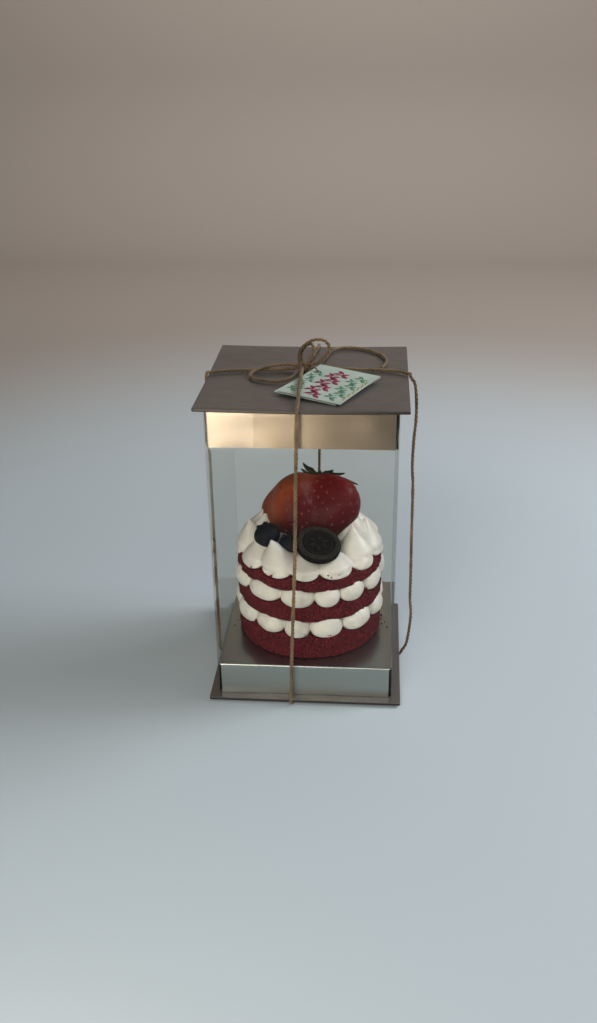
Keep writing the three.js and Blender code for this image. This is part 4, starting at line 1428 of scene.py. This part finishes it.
@dataclass
class Crumbs:
    """Loose red crumbs: on the cream's lower edges, on the kisses and round the foot of the cake.

    Attributes:
        plinth_top: The height of the plinth's top.
        layers: The cream layers, lowest first.
        picked: Angle from the front, radius, height and size of the crumbs that catch the eye.
        on_edges: How many more cling to the lower edge of each layer.
        on_plinth: How many lie on the plinth.
    """

    plinth_top: float
    layers: Sequence[CreamLayer]
    picked: tuple[tuple[float, float, float, float], ...] = (
        (-25, 40.2, 69.2, 0.75), (-27, 40.0, 68.6, 0.5), (12.5, 40.3, 67.5, 0.95),
        (14.5, 40.2, 68.2, 0.7), (17.5, 39.9, 71.2, 0.5), (-45, 40, 69.5, 0.5),
    )
    on_edges: int = 16
    on_plinth: int = 60
    finish: RedVelvetCrumb = RedVelvetCrumb("red_velvet_sponge_crumb", "sponge")

    def lump(self, middle: Array, size: float, spin: float) -> Shell:
        """Build one crumb: a low ball, squeezed and knobbly."""
        level = np.radians(np.array([-60, -20, 20, 60]))[:, None]
        turn = even_turn(7) + spin
        knob = 1 + 0.25 * np.sin(3 * turn + 9 * level + spin)
        return Shell.of_rings(middle + size * polar(np.cos(level) * knob, 0.8 * np.sin(level), turn))

    def build(self) -> None:
        """Scatter the crumbs with a seeded generator and build them as one piece."""
        random = np.random.default_rng(5)
        rows = [np.array(self.picked)]
        for layer in self.layers:
            turn = random.uniform(0, 360, self.on_edges)
            height = layer.bottom + random.uniform(-1.2, 1.6, self.on_edges)
            rows.append(np.column_stack([turn, layer.reach_at(np.radians(turn), height), height,
                                         random.uniform(0.22, 0.45, self.on_edges)]))
        sizes = random.uniform(0.2, 0.55, self.on_plinth)
        rows.append(np.column_stack([random.uniform(0, 360, self.on_plinth),
                                     39 + random.exponential(1.3, self.on_plinth).clip(0, 5),
                                     self.plinth_top + 0.75 * sizes, sizes]))
        turn, reach, height, size = np.vstack(rows).T
        middles = polar(reach, height, np.radians(turn - 90))[0]
        spins = random.uniform(0, FULL_TURN, len(turn))
        shells = [self.lump(*crumb) for crumb in zip(middles, size, spins)]
        self.finish.dress("red_velvet_crumbs", Shell.joined(shells))


# The twine and the tag

# Half the boards' side, the heights of base and lid, and where a cord's middle runs along them
EDGE = 50.0
OUTSIDE = EDGE + 1.2
BASE_UNDERSIDE = 1.2
PRESSED = 0.62
LID_TOP = 163.1
ON_LID = LID_TOP + 1.15
KNOT = (-2.8, 6.0, ON_LID + 1.6)


class Side(Enum):
    """A side of the box: the outward direction, and the direction along its edge."""

    FRONT = ((0, -1), (1, 0))
    BACK = ((0, 1), (1, 0))
    LEFT = ((-1, 0), (0, 1))
    RIGHT = ((1, 0), (0, 1))


def from_knot(*points: Point, end: Sequence[Point] = ()) -> list[Point]:
    """Route a cord from the knot by points whose heights are counted from a cord on the lid."""
    return [KNOT, *((x, y, ON_LID + rise) for x, y, rise in points), *end]


def down_side(side: Side, on_lid: float, route: Sequence[Point], under: float) -> list[Point]:
    """Lay the end of a strand: over the lid's edge, down a side and in under the base.

    Args:
        side: The side of the box.
        on_lid: Where along the edge it leaves the lid.
        route: From the top, its height, its place along the edge and how far it stands off.
        under: Where along the edge it passes under the base.

    Returns:
        The points of the route.
    """
    (out_x, out_y), (edge_x, edge_y) = side.value
    points = (
        (EDGE - 0.3, on_lid, ON_LID), (EDGE + 0.95, on_lid, ON_LID - 0.45),
        (OUTSIDE, on_lid, LID_TOP - 0.8),
        *((OUTSIDE + off, across, height) for height, across, off in route),
        (OUTSIDE, under, BASE_UNDERSIDE + 1.2), (EDGE + 1.0, under, BASE_UNDERSIDE + 0.35),
        (EDGE + 0.6, under, BASE_UNDERSIDE - 0.35), (EDGE - 1.5, under, PRESSED),
        (EDGE - 6, under * 0.9, PRESSED), (0, 0, PRESSED),
    )
    return [(out * out_x + across * edge_x, out * out_y + across * edge_y, height)
            for out, across, height in points]


def smooth_route(points: Sequence[Sequence[float]], step: float) -> Array:
    """Draw a centripetal Catmull-Rom curve through points and walk it in even steps.

    Each stretch blends, twice over, the straight lines through its four nearest points. Their
    knots are spaced by the square root of the distances.

    Args:
        points: The points of the route.
        step: The length of a step.

    Returns:
        The points of the walk (n, 3).
    """
    line = np.array(points, float)
    line = np.vstack([2 * line[0] - line[1], line, 2 * line[-1] - line[-2]])
    gaps = np.sqrt(np.linalg.norm(np.diff(line, axis=0), axis=1))
    knots = np.concatenate([[0], np.cumsum(gaps)])
    t0, t1, t2, t3 = (knots[i : len(knots) - 3 + i, None, None] for i in range(4))
    p0, p1, p2, p3 = (line[i : len(line) - 3 + i, None, :] for i in range(4))
    t = t1 + (t2 - t1) * np.linspace(0, 1, 24, endpoint=False)[None, :, None]

    def blend(a: Array, b: Array, low: Array, high: Array) -> Array:
        """Blend from a at the low knot to b at the high knot."""
        return ((high - t) * a + (t - low) * b) / (high - low)

    first, second, third = blend(p0, p1, t0, t1), blend(p1, p2, t1, t2), blend(p2, p3, t2, t3)
    curve = blend(blend(first, second, t0, t2), blend(second, third, t1, t3), t1, t2)
    curve = np.vstack([curve.reshape(-1, 3), line[-2]])
    run = np.concatenate([[0], np.cumsum(np.linalg.norm(np.diff(curve, axis=0), axis=1))])
    even = np.linspace(0, run[-1], max(4, int(run[-1] / step)))
    return np.column_stack([np.interp(even, run, curve[:, i]) for i in range(3)])


@dataclass
class Strand:
    """One stretch of twisted cord.

    Attributes:
        points: Its route.
        facing: A direction that is never along the route, or None for outwards from the box.
        radius: The cord's radius.
        plies: How many plies it is laid from.
        lay: The length in which a ply goes once round.
        step: The step along the route.
        columns: The steps round the cord.
    """

    points: Sequence[Sequence[float]]
    facing: Point | None = None
    radius: float = 1.0
    plies: int = 3
    lay: float = 7.0
    step: float = 0.55
    columns: int = 18

    def axes(self, path: Array) -> tuple[Array, Array]:
        """Two directions across the route at each of its points."""
        along = unit(np.gradient(path, axis=0))
        facing = np.array(self.facing, float)
        if self.facing is None:
            facing = (path - np.array([0, 0, 82.0])) / np.array([50.0, 50.0, 81.0])
            facing = facing * np.abs(facing) ** 3
        side = unit(np.cross(along, facing))
        return side, np.cross(side, along)

    def shell(self) -> Shell:
        """Carry the plies' outline along the route, turning with the lay.

        The outline is the farthest reach of a few circles set round the middle: at the angle v
        from the nearest circle's own middle it is d cos v + sqrt(r^2 - d^2 sin^2 v). Under the
        base the cord is pressed: its section is squeezed in height and spread sideways.
        """
        path = smooth_route(self.points, self.step)
        side, up = self.axes(path)
        run = np.arange(len(path))[:, None] * self.step
        turn, sector = np.arange(self.columns) / self.columns * FULL_TURN, FULL_TURN / self.plies
        away, ply = 0.47 * self.radius, 0.53 * self.radius
        near = (turn + sector / 2) % sector - sector / 2
        reach = away * np.cos(near) + np.sqrt(ply**2 - (away * np.sin(near)) ** 2)
        thick = 0.85 + 0.06 * noise_field(41, 16, 6)(path)[:, None]
        spin = turn + FULL_TURN / self.lay * run
        flat = smooth_step(BASE_UNDERSIDE + 0.3, BASE_UNDERSIDE - 0.3, path[:, 2:])
        wide = thick * reach * np.cos(spin) * (1 + 0.25 * flat)
        tall = thick * reach * np.sin(spin) * (1 - 0.45 * flat)
        rings = path[:, None] + wide[..., None] * side[:, None] + tall[..., None] * up[:, None]
        # crown runs from 0.35 in the grooves to 1 on the plies' crowns; the twine's material paints shade
        # into the grooves with it.
        crown = 0.35 + 0.65 * (reach - reach.min()) / (reach.max() - reach.min())
        none = 0 * spin
        return Shell.of_rings(rings, path[0], path[-1]).marked(
            along=with_poles(run + none, 0, 0), crown=with_poles(crown + none, 0.5, 0.5),
            around=with_poles(self.radius * (turn % sector) + none, 0, 0))


UPWARDS = (0, 0, 1)
BACKWARDS = (0, 1, 0)
STRANDS = (
    Strand(from_knot(
        (-2.7, 0, 2.6), (-2.5, -10, 3.2), (-2.2, -22, 2.8), (-1.9, -33.5, 2.2), (-1.7, -40, 0.9),
        (-1.5, -46, 0.1), end=down_side(Side.FRONT, -1.45, (
            (157, -1.7, 0), (134, -2.3, 0), (87, -3.5, 0), (40, -5.5, 0), (8, -6.7, 0)), -6.8),
    ), radius=1.12),
    Strand(from_knot((-1.6, 16, 0.5), (0.2, 26, 0), (2.2, 42, 0), end=down_side(Side.BACK, 2.9, (
        (157, 3, 0), (120, 2.8, 0.2), (60, 2, 0.2), (8, 1.1, 0)), 1))),
    Strand(from_knot((-9, 7.6, 0.3), (-20, 6.4, 0), (-39, 4.8, 0), (-46, 3.2, 0),
                     end=down_side(Side.LEFT, 1.5, (
                         (157, 0.9, 0), (120, -0.4, 0.2), (60, -1.8, 0.2), (8, -2.9, 0)), -3))),
    Strand(from_knot(
        (4, 9.6, 0.3), (12, 9.6, 0), (28.7, 8.4, 0), (42.4, 6.8, 0),
        end=down_side(Side.RIGHT, 2.9, (
            (160, 2.2, 1.8), (154, 1.6, 2.9), (141, 1, 3.3), (130, 0.6, 2.6), (115, 0.2, 2.3),
            (106, 0, 2.9), (74, 0, 3.3), (49, 0, 3.7), (36, -0.3, 3.8), (28, -0.5, 4.5),
            (18, -0.7, 4.0), (7, -0.9, 2.4)), -1))),
    Strand(from_knot(
        (-9, 8.6, 2.2), (-16, 7.6, 2.1), (-23, 5.2, 1.4), (-27.6, 1.6, 0.5), (-28.6, -3, 0),
        (-25.8, -7.8, 0), (-20.5, -10.8, 0), (-14, -11.6, 0.1), (-8.3, -8.3, 0.6), (-4.8, -1, 1.4),
        end=[KNOT]), UPWARDS),
    Strand(from_knot(
        (-4.4, 5.8, 4.75), (-4.4, 6, 9.25), (-1.6, 6.2, 13.15), (3.4, 6.4, 15.75), (8.4, 6.4, 15.15),
        (10.6, 6.2, 11.55), (7.6, 6, 6.35), (1.5, 6, 2.95), end=[KNOT]), BACKWARDS),
    Strand(from_knot(
        (-3.4, 8, 4.75), (-3.6, 8.6, 8.75), (-1.2, 8.6, 12.15), (1.6, 8.2, 12.95), (2.8, 7.6, 9.75),
        (0.8, 7, 4.75), end=[KNOT]), BACKWARDS),
    Strand(from_knot(
        (3, 13, 1.4), (7, 25, 0.2), (9, 36, 0), (12.5, 43.4, 0), (18.5, 45.4, 0), (25.5, 43.6, 0),
        (31.8, 38.8, 0), (36.8, 32, 0), (39, 24, 0), (38.2, 16.5, 0), (36.6, 12, 0)), UPWARDS),
)
TAG_TIE = Strand(from_knot(
    (0.5, 3, 4), (4, -1.2, 3.6), (5.2, -2.7, 2.4), (5.2, -2.7, 0.9), (3.6, -1, -0.15),
    (0, 3, -0.15), (KNOT[0], KNOT[1], 0.45)), (1, 1, 0), radius=0.55, plies=2, lay=4, step=0.35)


@dataclass
class Twine:
    """The jute twine: four strands round the box, the bow's loops and tail, the knot and fuzz.

    Attributes:
        wraps: The tilts of the knot's turns about the X axis and the Z axis, in degrees.
        knot: The half sizes of the knot.
        fuzz: How many loose fibres stand off.
    """

    wraps: tuple[tuple[float, float], ...] = ((72, 28), (84, 64), (97, -22), (58, -62))
    knot: Point = (2.9, 2.5, 2.1)
    fuzz: int = 900
    finish: JuteTwine = JuteTwine("plied_jute_twine", "twine")

    def knot_turn(self, tilt: float, heading: float) -> Shell:
        """Build one of the knot's closed turns of cord: a tilted ellipse."""
        turn = np.linspace(0, FULL_TURN, 13)
        tip = Matrix.Rotation(math.radians(heading), 3, "Z")
        tip = np.array(tip @ Matrix.Rotation(math.radians(tilt), 3, "X"))
        ring = np.column_stack([np.cos(turn), np.sin(turn), 0 * turn]) @ tip.T
        return Strand(ring * self.knot + np.array(KNOT), tuple(tip[:, 2])).shell()

    def fibres(self) -> Shell:
        """Build the loose fibres: three-sided hairs that leave the cord and bend along it."""
        random = np.random.default_rng(9)
        paths = [smooth_route(strand.points, 1.0) for strand in STRANDS]
        path = np.vstack([line[1:-1] for line in paths])
        along = np.vstack([np.gradient(line, axis=0)[1:-1] for line in paths])
        pick = random.integers(0, len(path), self.fuzz)
        pick = pick[path[pick][:, 2] > 3]
        along = unit(along[pick])
        out = unit(np.cross(along, random.normal(size=along.shape)))
        length = random.uniform(0.5, 1.5, (len(pick), 1))
        way = random.choice([-1, 1], (len(pick), 1)) * along
        share = np.linspace(0, 1, 4)[:, None, None]
        line = path[pick] + 0.75 * out + length * (share * way + 0.75 * share**1.5 * out)
        turn, third = even_turn(3)[:, None], np.cross(out, along)
        thin = 0.045 * (1 - 0.7 * share[..., None])
        rings = line[:, :, None] + thin * (np.cos(turn) * out[:, None] + np.sin(turn) * third[:, None])
        hairs = [Shell.of_rings(rings[:, i]) for i in range(len(pick))]
        return Shell.joined(hairs).marked(along=0.0, around=0.0, crown=1.0)

    def build(self) -> None:
        """Build the twine as one piece, and the fibres as another."""
        cords = [strand.shell() for strand in (*STRANDS, TAG_TIE)]
        cords += [self.knot_turn(*tilts) for tilts in self.wraps]
        self.finish.dress("jute_twine", Shell.joined(cords), "twine", "twine_under")
        self.finish.dress("jute_fibres", self.fibres())


@dataclass
class Tag:
    """The folded card tag's printed garlands and dots. Its card is the CAD node.

    Attributes:
        corner: The left end of the fold, halfway through the two leaves.
        turn: How far the fold turns to the front as it runs to the right, in degrees.
        fall: How far the tag falls per millimetre, away from the fold and along it.
        face: The height of the printed face over the tag's middle.
        ink: The thickness of the print.
    """

    corner: Point = (6, 8.1, LID_TOP + 3.2)
    turn: float = 26
    fall: tuple[float, float] = (1.3 / 41, 1.1 / 33.2)
    face: float = 0.55
    ink: float = 0.03

    def lens(self, x: float, y: float, heading: float, length: float, width: float) -> Shell:
        """Print one leaf: two arcs y = w sin(pi t) that meet in its points."""
        share = np.concatenate([np.linspace(1, 0, 9), np.linspace(0, 1, 9)[1:-1]])
        sign = np.repeat([0.5, -0.5], (9, 7))
        outline = np.column_stack([share * length, sign * width * np.sin(math.pi * share)])
        sin, cos = sine_cosine(heading)
        outline = outline @ np.array([[cos, sin], [-sin, cos]]) + (x, y)
        level = np.array([[self.face], [self.face + self.ink]]) + 0 * share
        return Shell.of_rings(np.dstack([np.stack([outline, outline]), level]))

    def stem(self, x: Array, y: Array, width: float) -> Shell:
        """Print a line of even width along the points."""
        path = np.column_stack([x, y])
        along = unit(np.gradient(path, axis=0))
        side = width * np.column_stack([-along[:, 1], along[:, 0]])[:, None]
        flat = path[:, None] + side * np.array([0.5, 0.5, -0.5, -0.5])[:, None]
        level = self.face + self.ink * np.array([0, 1, 1, 0]) + 0 * flat[..., 0]
        return Shell.of_rings(np.dstack([flat, level]))

    def garland(self, middle: float, start: float, end: float, leaves: int, size: float) -> Shell:
        """Print a wavy stem with leaves that stand off it by turns."""
        x = np.linspace(start, end, 60)
        wave = 0.35 * size * np.sin((x - start) / (end - start) * leaves * math.pi / 2)
        marks = [self.stem(x, middle + wave, 0.6)]
        for number in range(leaves):
            share, way = (number + 0.5) / leaves, 1 if number % 2 else -1
            at = start + share * (end - start)
            lift = middle + 0.35 * size * math.sin(share * leaves * math.pi / 2)
            marks.append(self.lens(at, lift, way * 58, size, 0.42 * size))
            marks.append(self.lens(at, lift, way * 122, 0.8 * size, 0.36 * size))
        return Shell.joined(marks)

    def build(self) -> None:
        """Print the garlands and the dots, and carry them from the tag's own axes onto the box."""
        sin, cos = sine_cosine(self.turn)
        away = unit(np.array([-sin, -cos, -self.fall[0]]))
        up = unit(np.cross(away, [cos, -sin, -self.fall[1]]))
        axes = np.array([away, np.cross(up, away), up])
        dots = [self.lens(at, 31 + 0.5 * (number % 2), 20, 2.4, 1.1)
                for number, at in enumerate(np.linspace(9, 34, 12))]
        greens = [self.garland(26.5, 6, 38, 12, 4.4), self.garland(5, 9, 37, 12, 3.6)]
        for name, ink, colour, marks in (
            ("maroon_garland", "maroon_print", "#7d2443", [self.garland(15, 5, 38, 14, 5.6)]),
            ("green_garlands", "green_print", "#4f7d62", greens),
            ("olive_dots", "olive_print", "#8c8c46", dots),
        ):
            print_ = Shell.joined(marks).moved(axes, self.corner)
            PrintedInk(ink, "tag_card", colour).dress(name, print_)


# The studio


def facing(forward: Vector, roll: float = 0) -> Matrix:
    """Turn a forward direction and a roll in degrees into an object's rotation."""
    right = forward.cross(Vector((0, 0, 1))).normalized()
    up = right.cross(forward)
    sin, cos = sine_cosine(roll)
    return Matrix((right * cos + up * sin, up * cos - right * sin, -forward)).transposed().to_4x4()


@dataclass(frozen=True)
class Lamp:
    """One soft rectangular light.

    Attributes:
        name: The light's name.
        place: Where it stands, in millimetres.
        target: What it points at, in millimetres.
        power: Its power in watts.
        size: Its width and height in millimetres.
        colour: Its colour.
    """

    name: str
    place: Point
    target: Point
    power: float
    size: tuple[float, float]
    colour: str

    def build(self) -> None:
        """Hang the light where the camera doesn't see it."""
        data = bpy.data.lights.new(self.name, "AREA")
        data.shape, data.energy, data.color = "RECTANGLE", self.power, linear(self.colour)[:3]
        data.size, data.size_y = self.size[0] * MM, self.size[1] * MM
        lamp = bpy.data.objects.new(self.name, data)
        forward = (Vector(self.target) - Vector(self.place)).normalized()
        lamp.matrix_world = Matrix.Translation(Vector(self.place) * MM) @ facing(forward)
        lamp.visible_camera = False
        bpy.context.scene.collection.objects.link(lamp)


SKIRT = (-20, -45, 150)
LAMPS = (
    Lamp("window", (780, 180, 720), (0, 0, 40), 8.8, (420, 420), "#f6f8ff"),
    Lamp("front_fill", (-150, -950, 750), (0, 0, 60), 7.2, (900, 600), "#fffaf3"),
    Lamp("wall_wash", (0, 620, 900), (0, 1250, 500), 6, (1200, 300), "#fff0e4"),
    Lamp("bright_card", (-112, -395, 42), SKIRT, 0.52, (90, 140), "#fff6e6"),
    Lamp("warm_card", (-42, -395, 42), SKIRT, 0.062, (40, 140), "#ffe6c4"),
    Lamp("dim_card", (-6, -395, 42), SKIRT, 0.012, (32, 140), "#ffe6c4"),
)


@dataclass
class Studio:
    """The camera of the photograph, a pale paper sweep and the air's own light.

    Attributes:
        eye: Where the camera stands, in millimetres.
        yaw: Its turn to the left, in degrees.
        pitch: How far it looks down.
        roll: How far it leans to the left.
        lens: Its focal length on a 36 mm wide frame along the picture's long side.
        bend: How far behind the object the paper starts to rise, and the radius of its bend.
        reach: How far the paper runs to the front and to the sides, and how high it rises.
        air: The colour of the light from all round.
        air_strength: The strength of that light.
    """

    eye: Point = (34.7, -478.4, 323.6)
    yaw: float = -4.82
    pitch: float = 26.13
    roll: float = -0.91
    lens: float = 35.46
    bend: tuple[float, float] = (1000, 250)
    reach: tuple[float, float] = (12000, 2500)
    air: str = "#cfd3d8"
    air_strength: float = 0.28
    paper: MattPaper = MattPaper("matt_paper", "paper")

    def camera(self) -> None:
        """Stand the camera where the photograph was taken."""
        data = bpy.data.cameras.new("photo_camera")
        data.sensor_width, data.lens = 36, self.lens
        data.clip_start, data.clip_end = 0.01, 60
        (side, ahead), (down, level) = sine_cosine(self.yaw), sine_cosine(self.pitch)
        forward = Vector((side * level, ahead * level, -down))
        camera = bpy.data.objects.new("photo_camera", data)
        camera.matrix_world = Matrix.Translation(Vector(self.eye) * MM) @ facing(forward, self.roll)
        bpy.context.scene.collection.objects.link(camera)
        bpy.context.scene.camera = camera

    def sweep(self) -> None:
        """Lay the paper: a floor that curves up into a wall through a quarter circle."""
        turn, (start, radius), (far, high) = np.radians(np.linspace(0, 90, 16)), self.bend, self.reach
        run = np.concatenate([[-far, -600], start + radius * np.sin(turn), [start + radius]])
        rise = np.concatenate([[0, 0], radius * (1 - np.cos(turn)), [high]])
        across = np.linspace(-far, far, 5)[:, None]
        points = np.dstack([across + 0 * run, run + 0 * across, rise + 0 * across]) * MM
        index = np.arange(points[..., 0].size).reshape(points.shape[:2])
        faces = np.stack([index[:-1, :-1], index[1:, :-1], index[1:, 1:], index[:-1, 1:]], axis=-1)
        mesh = bpy.data.meshes.new("paper_sweep")
        mesh.from_pydata(points.reshape(-1, 3).tolist(), [], faces.reshape(-1, 4).tolist())
        mesh.shade_smooth()
        mesh.materials.append(self.paper.material())
        sweep = bpy.data.objects.new("paper_sweep", mesh)
        bpy.context.scene.collection.objects.link(sweep)

    def build(self) -> None:
        """Set up the camera, the paper, the air and the lights."""
        self.camera()
        self.sweep()
        world = bpy.data.worlds.new("studio_air")
        world.use_nodes = True
        air = world.node_tree.nodes["Background"]
        air.inputs["Color"].default_value = linear(self.air)
        air.inputs["Strength"].default_value = self.air_strength
        scene = bpy.context.scene
        scene.world = world
        scene.view_settings.view_transform = "Standard"
        for lamp in LAMPS:
            lamp.build()


def main() -> None:
    """Load the frame and build every sub-assembly."""
    logging.basicConfig(level=logging.INFO, format="%(message)s")
    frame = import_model()
    Studio().build()
    BoxBoards().build()
    satin = FoilCard("satin_silver_foil_card", "plinth_card", "#a8aeae", 0.3)
    FoldedTray("cake_plinth", "plinth", satin, ripple=0.05).build()
    # The skirt's mirror keeps the darker, browner default colour: painted shade in its reflections.
    FoldedTray("hanging_skirt", "lid_skirt", FoilCard("mirror_foil_card", "mirror_card")).build()
    ClearFilm("clear_pet_film", "clear_film").coat("sleeve", frame["nodes"]["sleeve"])
    plinth_top = height_of("plinth")[1]
    layers = Cake(plinth_top).build()
    berry = Strawberry()
    for part in (berry, Calyx(berry), *BLUEBERRIES, Biscuit(), Crumbs(plinth_top, layers), Twine()):
        part.build()
    TagCard("mint_tag_card", "tag_card").coat("tag", frame["nodes"]["tag"])
    Tag().build()


if __name__ == "__main__":
    main()
